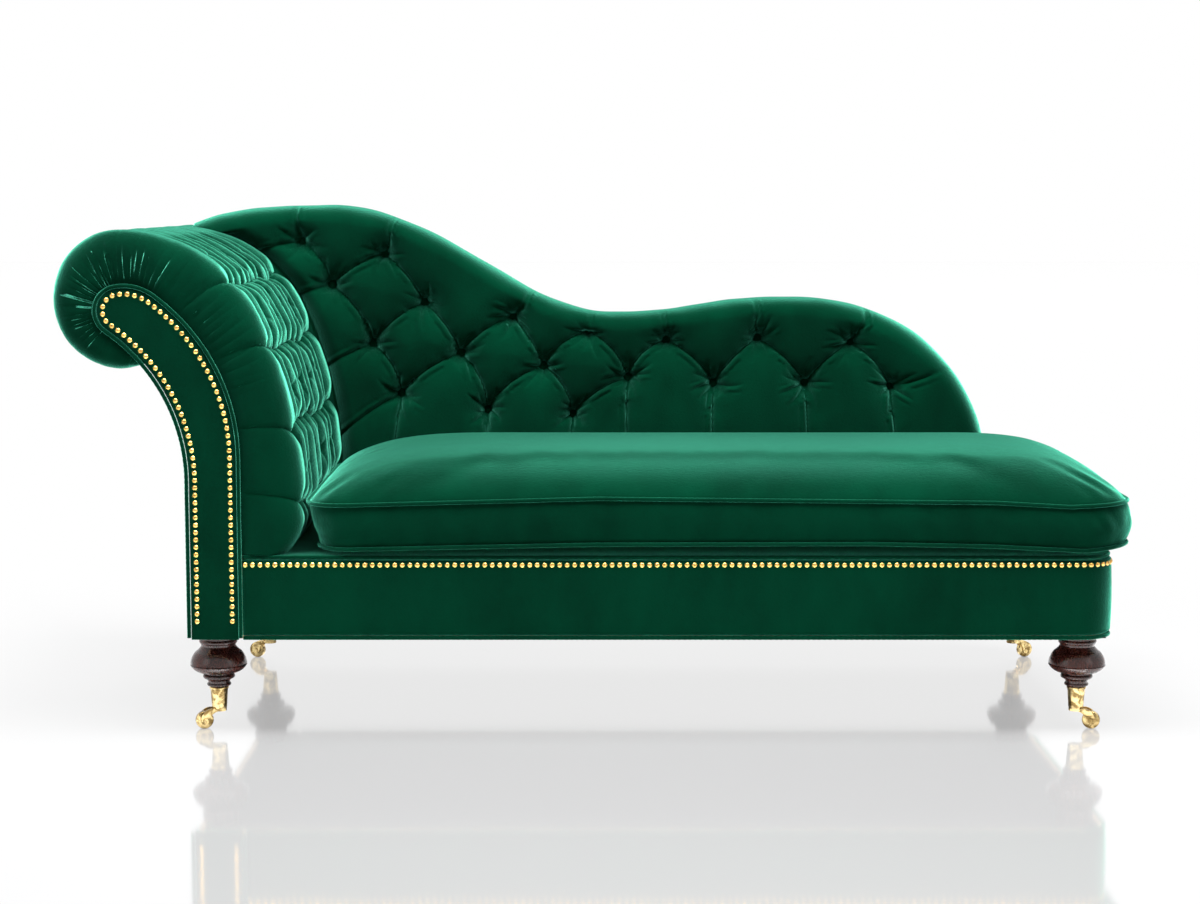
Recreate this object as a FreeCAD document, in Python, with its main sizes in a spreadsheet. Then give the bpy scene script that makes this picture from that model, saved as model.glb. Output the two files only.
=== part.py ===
import FreeCAD, Part
import math
import os

from FreeCAD import Placement, Rotation, Vector

# Chaise longue: one scrolled head end, a serpentine tufted back, a loose boxed seat cushion and
# four turned legs on brass casters. Millimetres. X runs to the foot end, Y to the rear, Z up, and
# the origin is on the floor under the middle of the piece.

doc = FreeCAD.newDocument("chaise_longue")
sheet = doc.addObject("Spreadsheet::Sheet", "Dimensions")

DRIVING = {
    # seat base
    "head_face": -679,
    "seat_length": 1549,
    "base_depth": 740,
    "base_bottom": 163,
    "rail_bottom": 165,
    "rail_top": 298,
    "rail_thickness": 28,
    "cover_thickness": 6,
    "base_corner_radius": 60,
    "leg_block_size": 80,
    "cross_rail_height": 60,
    "hessian_thickness": 1.5,
    "deck_thickness": 6.5,
    "dust_cover_thickness": 1.5,
    # zigzag springs and their clips
    "spring_wire": 3.8,
    "spring_height": 294,
    "spring_half_run": 18,
    "spring_pitch": 26.5,
    "spring_spacing": 125,
    "clip_width": 34,
    "clip_depth": 9,
    "clip_plate": 1.7,
    # scrolled head end
    "facing_width": 79,
    "facing_thickness": 8,
    "facing_overhang": 4,
    "facing_line_drop": 414,
    "facing_sweep_radius": 332,
    "facing_top_radius": 79,
    "scroll_overhang": 110,
    "scroll_drop": 170,
    "scroll_radius": 37,
    "outside_sweep_radius": 307,
    "arm_pad_scroll_overhang": 111,
    "arm_pad_scroll_drop": 152,
    "arm_pad_scroll_radius": 112,
    "arm_pad_reach": 184,
    "arm_pad_line_drop": 500,
    "arm_pad_sweep_radius": 740,
    "arm_pad_top_radius": 257,
    "arm_pad_toe_radius": 95,
    "arm_pad_toe_height": 70,
    "arm_rail_width": 40,
    "stuffing_rail_height": 40,
    # back
    "back_start_overhang": 96,
    "back_start_drop": 34,
    "back_height": 884,
    "back_peak_from_head": 170,
    "back_dip_from_head": 707,
    "back_dip_drop": 205,
    "back_hump_from_head": 1049,
    "back_hump_drop": 176,
    "back_foot_setback": 108,
    "back_pad_depth": 125,
    "back_roll": 35,
    "top_rail_width": 60,
    "back_post_width": 50,
    "web_width": 50,
    "web_thickness": 2,
    # loose seat cushion
    "cushion_head_gap": 3,
    "cushion_foot_overhang": 32,
    "cushion_front_overhang": 7.5,
    "cushion_rear_gap": 5,
    "cushion_lower_seam": 320,
    "cushion_upper_seam": 396,
    "cushion_top": 468,
    "cushion_crown_inset": 110,
    "cushion_belly_inset": 60,
    "cushion_corner_radius": 40,
    "cushion_cover_wall": 3,
    # trim
    "piping_diameter": 7,
    "trim_gap": 0.3,
    "nail_diameter": 9,
    "nail_height": 2.6,
    "nail_pitch": 12.5,
    "nail_line": 290,
    "nail_inset": 10,
    "nail_row_bottom": 195,
    "arm_crest_setback": 29,
    "arm_button_first": 62,
    "arm_button_pitch": 67.5,
    "button_diameter": 22,
    "button_height": 7,
    "button_depth": 45,
    "button_pit_diameter": 28,
    # turned legs
    "leg_inset": 34,
    "leg_setback": 65,
    "leg_foot_inset": 52,
    "leg_top_radius": 30,
    "leg_bulb_radius": 48,
    "leg_neck_radius": 18.5,
    "leg_tenon_radius": 12.3,
    "leg_bolt_diameter": 8,
    "leg_bolt_top": 205,
    "leg_bolt_bottom": 140,
    # casters
    "cup_height": 37.8,
    "wheel_head_gap": 4,
    "cup_radius": 15.8,
    "cup_floor": 10,
    "wheel_radius": 15,
    "wheel_width": 13,
    "caster_trail": 26,
    "axle_diameter": 6,
    "swivel_pin_diameter": 8,
    "running_clearance": 0.05,
    "fork_plate": 3.5,
    "fork_side_gap": 0.5,
    "fork_head_thickness": 4.2,
    "fork_head_radius": 12.2,
}

for row, (alias, value) in enumerate(DRIVING.items(), start=1):
    sheet.set(f"A{row}", alias)
    sheet.set(f"B{row}", str(value))
    sheet.setAlias(f"B{row}", alias)
doc.recompute()


def size(alias):
    """The value of one cell of the sheet."""
    return float(getattr(sheet, alias))


NODES = {}
CLEAR = size("trim_gap")
FULL_TURN = 2 * math.pi

# Faces and levels that several pieces share.
HEAD = size("head_face")
FOOT = HEAD + size("seat_length")
REAR = size("base_depth") / 2
FRONT = -REAR
COVER = size("cover_thickness")
TIMBER_REAR = REAR - COVER
TIMBER_INNER = TIMBER_REAR - size("rail_thickness")
TIMBER_FOOT = FOOT - COVER
RAIL_BOTTOM = size("rail_bottom")
RAIL_TOP = size("rail_top")
WHEEL_TOP = 2 * size("wheel_radius")
CUP_BOTTOM = WHEEL_TOP + size("wheel_head_gap")
CUP_TOP = CUP_BOTTOM + size("cup_height")
BOARD_HEAD = HEAD + size("facing_overhang")
FACING_RIGHT = HEAD + size("facing_width")
BOARD_RIGHT = FACING_RIGHT - size("facing_overhang")
COVER_TOP = RAIL_TOP + size("hessian_thickness")
DECK_TOP = COVER_TOP + size("deck_thickness")
PAD_BOTTOM = DECK_TOP + CLEAR
PIPING = size("piping_diameter") / 2
PIPING_SEAT = PIPING + CLEAR
COVER_HEAD = FACING_RIGHT + 2 * PIPING_SEAT
BACK_START = HEAD - size("back_start_overhang")
BACK_FOOT = FOOT - size("back_foot_setback")
BACK_FRONT = REAR - size("back_pad_depth")
BACK_TOP = size("back_height")
LEG_X = {"head": HEAD + size("leg_inset"), "foot": FOOT - size("leg_foot_inset")}
LEG_Y = {"front": FRONT + size("leg_setback"), "rear": REAR - size("leg_setback")}


def keep(name, item):
    """Label a finished sub-part and note it for export."""
    item.Label = name
    NODES[name] = item
    return item


def block(name, x, y, z):
    """A box bound to expressions for the two faces across each axis."""
    box = doc.addObject("Part::Box", name)
    for side, axis, (low, high) in (("Length", "x", x), ("Width", "y", y), ("Height", "z", z)):
        box.setExpression(side, f"({high}) - ({low})")
        box.setExpression(f"Placement.Base.{axis}", low)
    return box


def rod(name, radius, length, base, direction):
    """A cylinder bound to expressions, from a base point along a direction."""
    cylinder = doc.addObject("Part::Cylinder", name)
    cylinder.setExpression("Radius", radius)
    cylinder.setExpression("Height", length)
    cylinder.Placement = Placement(Vector(*base), Rotation(Vector(0, 0, 1), Vector(*direction)))
    return cylinder


def sketched(name, role, edges):
    """A new body with one sketch of the given edges on an origin plane."""
    body = doc.addObject("PartDesign::Body", name)
    sketch = body.newObject("Sketcher::SketchObject", f"{name}_profile")
    plane = next(item for item in body.Origin.OriginFeatures if item.Role == role)
    sketch.AttachmentSupport = [(plane, "")]
    sketch.MapMode = "FlatFace"
    for edge in edges:
        sketch.addGeometry(edge, False)
    return body, sketch


def board(name, edges, thickness, rear_face):
    """A profile in the XZ plane, padded forward from its rear face."""
    body, sketch = sketched(name, "XZ_Plane", edges)
    pad = body.newObject("PartDesign::Pad", f"{name}_pad")
    pad.Profile = sketch
    pad.setExpression("Length", thickness)
    body.setExpression("Placement.Base.y", rear_face)
    return body


def slab(name, edges, thickness, bottom):
    """A plan outline padded upward from its bottom level."""
    body, sketch = sketched(name, "XY_Plane", edges)
    pad = body.newObject("PartDesign::Pad", f"{name}_pad")
    pad.Profile = sketch
    pad.setExpression("Length", thickness)
    body.setExpression("Placement.Base.z", bottom)
    return body


def turned(name, edges):
    """A half profile in the XZ plane, turned about the Z axis."""
    body, sketch = sketched(name, "XZ_Plane", edges)
    turn = body.newObject("PartDesign::Revolution", f"{name}_turn")
    turn.Profile = sketch
    turn.ReferenceAxis = (sketch, ["V_Axis"])
    turn.Angle = 360
    return body


def joined(kind, name, items):
    """A fuse, common or compound of several objects."""
    item = doc.addObject(kind, name)
    if kind == "Part::Compound":
        item.Links = items
    else:
        item.Shapes = items
    return item


def cut(name, base, tool):
    """One object with another taken out of it."""
    item = doc.addObject("Part::Cut", name)
    item.Base = base
    item.Tool = tool
    return item


def shaped(name, shape):
    """A sub-part whose shape is worked out here."""
    item = doc.addObject("Part::Feature", name)
    item.Shape = shape
    return keep(name, item)


def line(a, b):
    return Part.LineSegment(Vector(a[0], a[1], 0), Vector(b[0], b[1], 0))


def chain(points):
    """Straight edges through a list of points, closed."""
    return [line(a, b) for a, b in zip(points, points[1:] + points[:1])]


def on_circle(centre, radius, angle):
    return centre[0] + radius * math.cos(angle), centre[1] + radius * math.sin(angle)


def arc(centre, radius, start, end):
    """The arc from one angle to the other, the short or long way as the numbers run."""
    ends = [on_circle(centre, radius, a) for a in (start, (start + end) / 2, end)]
    return Part.Arc(*[Vector(x, z, 0) for x, z in ends])


def through(a, b, c):
    return Part.Arc(*[Vector(p[0], p[1], 0) for p in (a, b, c)])


def curve(*poles):
    """A cubic curve by its four poles."""
    bezier = Part.BezierCurve()
    bezier.setPoles([Vector(x, z, 0) for x, z in poles])
    return bezier.toBSpline()


def start_of(edge):
    point = edge.StartPoint
    return point.x, point.y


def end_of(edge):
    point = edge.EndPoint
    return point.x, point.y


def flipped(edges):
    """The same run of edges the other way round."""
    result = []
    for edge in reversed(edges):
        if isinstance(edge, Part.LineSegment):
            result.append(line(end_of(edge), start_of(edge)))
        else:
            middle = edge.value((edge.FirstParameter + edge.LastParameter) / 2)
            result.append(through(end_of(edge), (middle.x, middle.y), start_of(edge)))
    return result


def angle_to(centre, point):
    return math.atan2(point[1] - centre[1], point[0] - centre[0])


def circles_meet(first, first_radius, second, second_radius):
    """The point at two distances from two centres, on the left of the way between them."""
    span = math.dist(first, second)
    along = (first_radius**2 - second_radius**2 + span**2) / (2 * span)
    across = math.sqrt(first_radius**2 - along**2)
    ux, uz = (second[0] - first[0]) / span, (second[1] - first[1]) / span
    return first[0] + along * ux - across * uz, first[1] + along * uz + across * ux


# The scrolled facing: a straight leg, a sweep and a small scroll, all in tangent arcs.
SCROLL = (HEAD - size("scroll_overhang"), BACK_TOP - size("scroll_drop"))
SCROLL_RADIUS = size("scroll_radius")
SWEEP_RADIUS = size("facing_sweep_radius")
TOP_RADIUS = size("facing_top_radius")
OUTSIDE_RADIUS = size("outside_sweep_radius")
SWEEP = (FACING_RIGHT - SWEEP_RADIUS, BACK_TOP - size("facing_line_drop"))
TOP = circles_meet(SCROLL, TOP_RADIUS - SCROLL_RADIUS, SWEEP, SWEEP_RADIUS - TOP_RADIUS)
SWEEP_END = angle_to(SWEEP, TOP)
TOP_END = angle_to(TOP, SCROLL)
OUTSIDE_X = HEAD - OUTSIDE_RADIUS
OUTSIDE_RUN = SCROLL_RADIUS + OUTSIDE_RADIUS
OUTSIDE_END = math.acos((SCROLL[0] - OUTSIDE_X) / OUTSIDE_RUN)
OUTSIDE = (OUTSIDE_X, SCROLL[1] - OUTSIDE_RUN * math.sin(OUTSIDE_END))


def facing_right(inset, bottom):
    """The facing's inner edge from the bottom up to the top of the scroll."""
    return [
        line((FACING_RIGHT - inset, bottom), (FACING_RIGHT - inset, SWEEP[1])),
        arc(SWEEP, SWEEP_RADIUS - inset, 0, SWEEP_END),
        arc(TOP, TOP_RADIUS - inset, SWEEP_END, TOP_END),
    ]


def facing_scroll(inset):
    """The scroll itself, from its top round the outside to its underside."""
    return [arc(SCROLL, SCROLL_RADIUS - inset, TOP_END, OUTSIDE_END + math.pi)]


def facing_left(inset, bottom):
    """The facing's outer edge from the scroll's underside down to the bottom."""
    return [
        arc(OUTSIDE, OUTSIDE_RADIUS + inset, OUTSIDE_END, 0),
        line((HEAD + inset, OUTSIDE[1]), (HEAD + inset, bottom)),
    ]


def facing_outline(inset, bottom):
    edges = facing_right(inset, bottom) + facing_scroll(inset) + facing_left(inset, bottom)
    return edges + [line(end_of(edges[-1]), start_of(edges[0]))]


def flat_wire(edges, rotation=Rotation(Vector(1, 0, 0), 90), base=Vector(0, 0, 0)):
    """Edges drawn in the plane, turned upright and moved to their place."""
    wire = Part.Wire([edge.toShape() for edge in edges])
    wire.Placement = Placement(base, rotation)
    return wire


def tube(path, radius):
    """A round cord along a wire of tangent lines and arcs."""
    begin = path.Edges[0].valueAt(path.Edges[0].FirstParameter)
    ahead = path.Edges[0].tangentAt(path.Edges[0].FirstParameter)
    ring = Part.Wire([Part.makeCircle(radius, begin, ahead)])
    return path.makePipeShell([ring], True, False)


def dome(radius, height, place, direction):
    """A shallow spherical cap that stands on a flat base."""
    ball = (radius**2 + height**2) / (2 * height)
    low = math.degrees(math.asin((ball - height) / ball))
    cap = Part.makeSphere(ball, Vector(0, 0, height - ball), Vector(0, 0, 1), low, 90, 360)
    cap.Placement = Placement(Vector(*place), Rotation(Vector(0, 0, 1), Vector(*direction)))
    return cap


# Seat frame

FRONT_OUTER_Y = "-Dimensions.base_depth / 2 + Dimensions.cover_thickness"
REAR_OUTER_Y = "Dimensions.base_depth / 2 - Dimensions.cover_thickness"
FRONT_INNER_Y = f"{FRONT_OUTER_Y} + Dimensions.rail_thickness"
REAR_INNER_Y = f"{REAR_OUTER_Y} - Dimensions.rail_thickness"
FOOT_X = "Dimensions.head_face + Dimensions.seat_length - Dimensions.cover_thickness"
BOARD_HEAD_X = "Dimensions.head_face + Dimensions.facing_overhang"
BOARD_RIGHT_X = "Dimensions.head_face + Dimensions.facing_width - Dimensions.facing_overhang"
RAIL_Z = ("Dimensions.rail_bottom", "Dimensions.rail_top")
BLOCK = "Dimensions.leg_block_size"
LONG_RAIL = (BOARD_RIGHT_X, f"{FOOT_X} - {BLOCK}")


def seat_frame():
    """Four rails, the leg blocks in their corners and two cross rails."""
    keep("front_seat_rail", block("front_seat_rail", LONG_RAIL, (FRONT_OUTER_Y, FRONT_INNER_Y), RAIL_Z))
    keep("back_seat_rail", block("back_seat_rail", LONG_RAIL, (REAR_INNER_Y, REAR_OUTER_Y), RAIL_Z))
    head_y = (f"{FRONT_INNER_Y} + {BLOCK}", f"{REAR_INNER_Y} - {BLOCK}")
    head_x = (BOARD_HEAD_X, f"{BOARD_HEAD_X} + Dimensions.rail_thickness")
    keep("head_seat_rail", block("head_seat_rail", head_x, head_y, RAIL_Z))
    foot_y = (f"{FRONT_OUTER_Y} + {BLOCK}", f"{REAR_OUTER_Y} - {BLOCK}")
    foot_x = (f"{FOOT_X} - Dimensions.rail_thickness", FOOT_X)
    keep("foot_seat_rail", block("foot_seat_rail", foot_x, foot_y, RAIL_Z))

    third = size("seat_length") / 3
    rails = []
    for number in (1, 2):
        middle = HEAD + number * third
        half = size("rail_thickness") / 2
        x = (f"{middle - half}", f"{middle + half}")
        z = ("Dimensions.rail_bottom", "Dimensions.rail_bottom + Dimensions.cross_rail_height")
        rails.append(block(f"cross_rail_{number}", x, (FRONT_INNER_Y, REAR_INNER_Y), z))
    keep("cross_rails", joined("Part::Compound", "cross_rails", rails))


def leg_blocks():
    """Corner blocks that take the leg bolts; the two at the foot round the base's corners."""
    side = size("leg_block_size")
    radius = size("base_corner_radius") - COVER + 2 * CLEAR
    blocks = []
    for side_name, sign in (("front", -1), ("rear", 1)):
        inner = sign * TIMBER_INNER
        head = chain([
            (BOARD_HEAD, inner),
            (BOARD_HEAD + side, inner),
            (BOARD_HEAD + side, inner - sign * side),
            (BOARD_HEAD, inner - sign * side),
        ])
        outer = sign * TIMBER_REAR
        centre = (TIMBER_FOOT - radius, outer - sign * radius)
        corner = arc(centre, radius, sign * math.pi / 2, 0)
        foot = [
            line((TIMBER_FOOT - side, outer), (TIMBER_FOOT - radius, outer)),
            corner,
            line((TIMBER_FOOT, outer - sign * radius), (TIMBER_FOOT, outer - sign * side)),
            line((TIMBER_FOOT, outer - sign * side), (TIMBER_FOOT - side, outer - sign * side)),
            line((TIMBER_FOOT - side, outer - sign * side), (TIMBER_FOOT - side, outer)),
        ]
        for end, edges in (("head", head), ("foot", foot)):
            name = f"leg_block_{end}_{side_name}"
            height = "Dimensions.rail_top - Dimensions.rail_bottom"
            solid = slab(name, edges, height, "Dimensions.rail_bottom")
            bore = rod(
                f"{name}_bore",
                "Dimensions.leg_bolt_diameter / 2 + Dimensions.running_clearance",
                "Dimensions.leg_bolt_top + Dimensions.running_clearance - Dimensions.rail_bottom",
                (LEG_X[end], LEG_Y[side_name], RAIL_BOTTOM),
                (0, 0, 1),
            )
            blocks.append(cut(f"{name}_bored", solid, bore))
    keep("leg_blocks", joined("Part::Compound", "leg_blocks", blocks))


def zigzag_spring(x, half_run, reach, pitch, height):
    """One flat sinuous wire from the front rail to the back rail."""
    count = max(2, round(2 * reach / pitch))
    step = 2 * reach / count
    edges = []
    for number in range(count + 1):
        y = -reach + number * step
        way = 1 if number % 2 == 0 else -1
        edges.append(line((x - way * half_run, y), (x + way * half_run, y)))
        if number < count:
            centre = (x + way * half_run, y + step / 2)
            edges.append(arc(centre, step / 2, -math.pi / 2, -math.pi / 2 + way * math.pi))
    wire = flat_wire(edges, Rotation(), Vector(0, 0, height))
    return tube(wire, size("spring_wire") / 2)


def suspension():
    """Zigzag springs front to back, each held in a folded clip on either rail."""
    half_run = size("spring_half_run")
    wire = size("spring_wire") / 2
    height = size("spring_height")
    plate = size("clip_plate")
    depth = size("clip_depth")
    width = size("clip_width")
    reach = TIMBER_INNER - depth / 2
    first = BOARD_HEAD + size("leg_block_size") + half_run + size("spring_pitch")
    last = TIMBER_FOOT - size("leg_block_size") - half_run - size("spring_pitch")
    gaps = max(1, round((last - first) / size("spring_spacing")))
    springs, clips = [], []
    for number in range(gaps + 1):
        x = first + (last - first) * number / gaps
        springs.append(zigzag_spring(x, half_run, reach, size("spring_pitch"), height))
        for sign in (-1, 1):
            lip = wire + CLEAR
            outer = sign * TIMBER_INNER
            web = sign * (TIMBER_INNER - plate)
            profile = [
                (outer, height - lip - plate),
                (outer, height + lip + plate),
                (outer - sign * depth, height + lip + plate),
                (outer - sign * depth, height + lip),
                (web, height + lip),
                (web, height - lip),
                (outer - sign * depth, height - lip),
                (outer - sign * depth, height - lip - plate),
            ]
            corners = [Vector(x - width / 2, y, z) for y, z in profile + profile[:1]]
            clips.append(Part.Face(Part.makePolygon(corners)).extrude(Vector(width, 0, 0)))
    shaped("zigzag_springs", Part.makeCompound(springs))
    shaped("spring_clips", Part.makeCompound(clips))


def base_plan(inset, head):
    """The rounded plan of the base, open towards the head."""
    radius = size("base_corner_radius") - inset
    rear, foot = REAR - inset, FOOT - inset
    return [
        line((head, -rear), (foot - radius, -rear)),
        arc((foot - radius, -rear + radius), radius, -math.pi / 2, 0),
        line((foot, -rear + radius), (foot, rear - radius)),
        arc((foot - radius, rear - radius), radius, 0, math.pi / 2),
        line((foot - radius, rear), (head, rear)),
    ]


def base_upholstery():
    """The covered band round the rails, its cord, the platform over the springs and the dust cover."""
    outer = base_plan(0, COVER_HEAD)
    inner = flipped(base_plan(COVER, COVER_HEAD))
    band = outer + [line(end_of(outer[-1]), start_of(inner[0]))] + inner
    band.append(line(end_of(inner[-1]), start_of(outer[0])))
    height = (
        "Dimensions.rail_top + Dimensions.hessian_thickness"
        " - Dimensions.base_bottom - Dimensions.piping_diameter - Dimensions.trim_gap"
    )
    bottom = "Dimensions.base_bottom + Dimensions.piping_diameter + Dimensions.trim_gap"
    keep("base_cover", slab("base_cover", band, height, bottom))

    cord = flat_wire(
        base_plan(COVER - PIPING_SEAT, COVER_HEAD), Rotation(), Vector(0, 0, size("base_bottom") + PIPING)
    )
    shaped("base_piping", tube(cord, PIPING))

    margin = 0.7 * size("rail_thickness")
    hessian = block(
        "seat_hessian",
        (f"{BOARD_RIGHT_X}", f"{FOOT_X} - {margin}"),
        (f"{FRONT_OUTER_Y} + {margin}", f"{REAR_INNER_Y}"),
        ("Dimensions.rail_top", "Dimensions.rail_top + Dimensions.hessian_thickness"),
    )
    keep("seat_hessian", hessian)

    platform = base_plan(0, COVER_HEAD)
    platform.append(line(end_of(platform[-1]), start_of(platform[0])))
    level = "Dimensions.rail_top + Dimensions.hessian_thickness"
    whole = slab("platform_plan", platform, "Dimensions.deck_thickness", level)
    behind = block(
        "platform_rear_cutout",
        (f"{BOARD_RIGHT_X}", f"{BACK_FOOT + COVER}"),
        (f"{REAR_INNER_Y} - 2 * Dimensions.web_thickness - Dimensions.trim_gap", "Dimensions.base_depth"),
        ("Dimensions.rail_top", "Dimensions.cushion_top"),
    )
    keep("seat_platform", cut("seat_platform", whole, behind))

    margin_foot = size("base_corner_radius") / 2 + COVER
    sheet_box = block(
        "dust_sheet",
        (f"{BOARD_HEAD_X} + {COVER}", f"{FOOT_X} - {margin_foot}"),
        (f"{FRONT_OUTER_Y} + {COVER}", f"{REAR_OUTER_Y} - {COVER}"),
        ("Dimensions.rail_bottom - Dimensions.dust_cover_thickness", "Dimensions.rail_bottom"),
    )
    holes = []
    for end, x in LEG_X.items():
        for side, y in LEG_Y.items():
            name = f"dust_hole_{end}_{side}"
            start = (x, y, size("base_bottom"))
            radius = "Dimensions.leg_top_radius + Dimensions.trim_gap"
            holes.append(rod(name, radius, "Dimensions.rail_thickness", start, (0, 0, 1)))
    keep("dust_cover", cut("dust_cover", sheet_box, joined("Part::Compound", "dust_holes", holes)))


# Head end

def scrolled_end():
    """Two scroll boards joined by rails, with hessian stretched over the sitter's side."""
    outline = facing_outline(size("facing_overhang"), RAIL_BOTTOM)
    thickness = "Dimensions.rail_thickness"
    keep("arm_board_front", board("arm_board_front", outline, thickness, FRONT_INNER_Y))
    keep("arm_board_rear", board("arm_board_rear", outline, thickness, REAR_OUTER_Y))

    between = (FRONT_INNER_Y, REAR_INNER_Y)
    half = size("arm_rail_width") / 2
    hessian_side = size("facing_overhang") + size("web_thickness")
    radius = f"Dimensions.scroll_radius - {hessian_side + CLEAR}"
    start = (SCROLL[0], -TIMBER_INNER, SCROLL[1])
    scroll_rail = rod("scroll_rail", radius, f"2 * ({REAR_INNER_Y})", start, (0, 1, 0))
    middle_x = (OUTSIDE[0] + OUTSIDE_RADIUS + SWEEP[0] + SWEEP_RADIUS) / 2 - half
    middle_z = (OUTSIDE[1] + SCROLL[1]) / 2 + half
    middle_rail = block(
        "arm_middle_rail",
        (f"{middle_x - half}", f"{middle_x + half}"),
        between,
        (f"{middle_z - half}", f"{middle_z + half}"),
    )
    lower_rail = block(
        "arm_stuffing_rail",
        (f"{BOARD_RIGHT_X} - Dimensions.rail_thickness", BOARD_RIGHT_X),
        between,
        (f"{PAD_BOTTOM}", f"{PAD_BOTTOM} + Dimensions.stuffing_rail_height"),
    )
    keep("arm_rails", joined("Part::Compound", "arm_rails", [scroll_rail, middle_rail, lower_rail]))

    start = PAD_BOTTOM + size("stuffing_rail_height")
    near = facing_right(size("facing_overhang"), start) + facing_scroll(size("facing_overhang"))
    far = flipped(facing_right(hessian_side, start) + facing_scroll(hessian_side))
    band = near + [line(end_of(near[-1]), start_of(far[0]))] + far
    band.append(line(end_of(far[-1]), start_of(near[0])))
    keep("arm_hessian", board("arm_hessian", band, f"2 * ({REAR_INNER_Y})", REAR_INNER_Y))


# The padding over the head end follows three arcs: the round of the scroll, the shoulder and the
# long slope down to the seat.
PAD_SCROLL = (HEAD - size("arm_pad_scroll_overhang"), BACK_TOP - size("arm_pad_scroll_drop"))
PAD_RADIUS = size("arm_pad_scroll_radius")
PAD_SLOPE_RADIUS = size("arm_pad_sweep_radius")
PAD_FACE = HEAD + size("arm_pad_reach")
PAD_TOP_RADIUS = size("arm_pad_top_radius")
PAD_SLOPE = (PAD_FACE - PAD_SLOPE_RADIUS, BACK_TOP - size("arm_pad_line_drop"))
PAD_SHOULDER = PAD_TOP_RADIUS - PAD_RADIUS
PAD_TOP = circles_meet(PAD_SCROLL, PAD_SHOULDER, PAD_SLOPE, PAD_SLOPE_RADIUS - PAD_TOP_RADIUS)
PAD_SLOPE_END = angle_to(PAD_SLOPE, PAD_TOP)
PAD_TOP_END = angle_to(PAD_TOP, PAD_SCROLL)
PAD_BED = size("facing_overhang") - CLEAR
PAD_START = circles_meet(PAD_SCROLL, PAD_RADIUS, OUTSIDE, OUTSIDE_RADIUS + PAD_BED)
PAD_START_ANGLE = angle_to(OUTSIDE, PAD_START)
ARM_BUTTON_ROWS = 7
ARM_DIAMONDS = 5


def arm_pad_outline(bottom):
    """The padding's section, from the seat up its outside and back down along the board."""
    toe_radius = size("arm_pad_toe_radius")
    toe_centre = (PAD_FACE - toe_radius, bottom + size("arm_pad_toe_height"))
    toe_drop = math.asin(size("arm_pad_toe_height") / toe_radius)
    foot = (FACING_RIGHT - PAD_BED, bottom)
    last_angle = angle_to(PAD_SCROLL, PAD_START) + FULL_TURN
    outer = [
        arc(toe_centre, toe_radius, -toe_drop, 0),
        line((PAD_FACE, toe_centre[1]), (PAD_FACE, PAD_SLOPE[1])),
        arc(PAD_SLOPE, PAD_SLOPE_RADIUS, 0, PAD_SLOPE_END),
        arc(PAD_TOP, PAD_TOP_RADIUS, PAD_SLOPE_END, PAD_TOP_END),
        arc(PAD_SCROLL, PAD_RADIUS, PAD_TOP_END, last_angle),
    ]
    inner = [arc(OUTSIDE, OUTSIDE_RADIUS + PAD_BED, PAD_START_ANGLE, OUTSIDE_END)]
    inner += flipped(facing_right(PAD_BED, bottom) + facing_scroll(PAD_BED))
    return outer + inner + [line(foot, start_of(outer[0]))]


def arm_surface(distance):
    """Place and outward direction on the padding's sitting side, so far up from its lower line."""
    slope_run = PAD_SLOPE_RADIUS * PAD_SLOPE_END
    if distance < slope_run:
        centre, radius, angle = PAD_SLOPE, PAD_SLOPE_RADIUS, distance / PAD_SLOPE_RADIUS
    else:
        centre, radius = PAD_TOP, PAD_TOP_RADIUS
        angle = PAD_SLOPE_END + (distance - slope_run) / PAD_TOP_RADIUS
    return on_circle(centre, radius, angle), (math.cos(angle), math.sin(angle))


def arm_button_places():
    """Rows up the padding, with one button fewer across its depth in every other row."""
    crest = -TIMBER_REAR + size("arm_crest_setback")
    pitch = (BACK_FRONT - crest) / ARM_DIAMONDS
    places = []
    for row in range(ARM_BUTTON_ROWS):
        (x, z), (out_x, out_z) = arm_surface(size("arm_button_first") + row * size("arm_button_pitch"))
        full = row % 2 == 1
        for column in range(ARM_DIAMONDS if full else ARM_DIAMONDS - 1):
            y = crest + (column + (0.5 if full else 1)) * pitch
            places.append(((x, y, z), (out_x, 0, out_z)))
    return places


# Buttons of the back in per cent: along it from the head face, and up from the seat to its top.
BACK_BUTTONS = (
    (7.8, 88.5), (18.8, 86.6), (11.7, 74.0), (24.0, 74.2), (17.1, 55.4),
    (35.9, 84.2), (28.9, 60.0), (20.9, 39.8), (39.9, 67.0), (32.4, 40.2),
    (45.9, 89.9), (43.8, 46.5), (51.2, 66.9), (56.3, 85.2), (62.7, 61.0),
    (68.5, 81.4), (74.9, 59.6), (81.0, 82.0), (86.3, 64.7),
)


def top_line_height(x):
    """Height of the back's top line over a given x."""
    for edge in back_top(0):
        if start_of(edge)[0] <= x <= end_of(edge)[0]:
            low, high = edge.FirstParameter, edge.LastParameter
            for _ in range(40):
                middle = (low + high) / 2
                low, high = (middle, high) if edge.value(middle).x < x else (low, middle)
            return edge.value(low).y
    raise ValueError(f"x {x} is off the back")


def buttons_and_pits(places):
    """Domed buttons and the pits they sit in, for a list of (surface point, outward direction)."""
    radius = size("button_diameter") / 2
    depth = size("button_depth")
    caps, pits = [], []
    for point, outward in places:
        out = Vector(*outward)
        bottom = Vector(*point) - out * depth
        caps.append(dome(radius, size("button_height"), bottom + out * CLEAR, out))
        pits.append(Part.makeCylinder(size("button_pit_diameter") / 2, 2 * depth, bottom, out))
    return caps, pits


def pitted(name, base, pits):
    """A padded piece with its button pits taken out."""
    tools = doc.addObject("Part::Feature", f"{name}_pits")
    tools.Shape = Part.makeCompound(pits)
    return keep(name, cut(name, base, tools))


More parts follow.
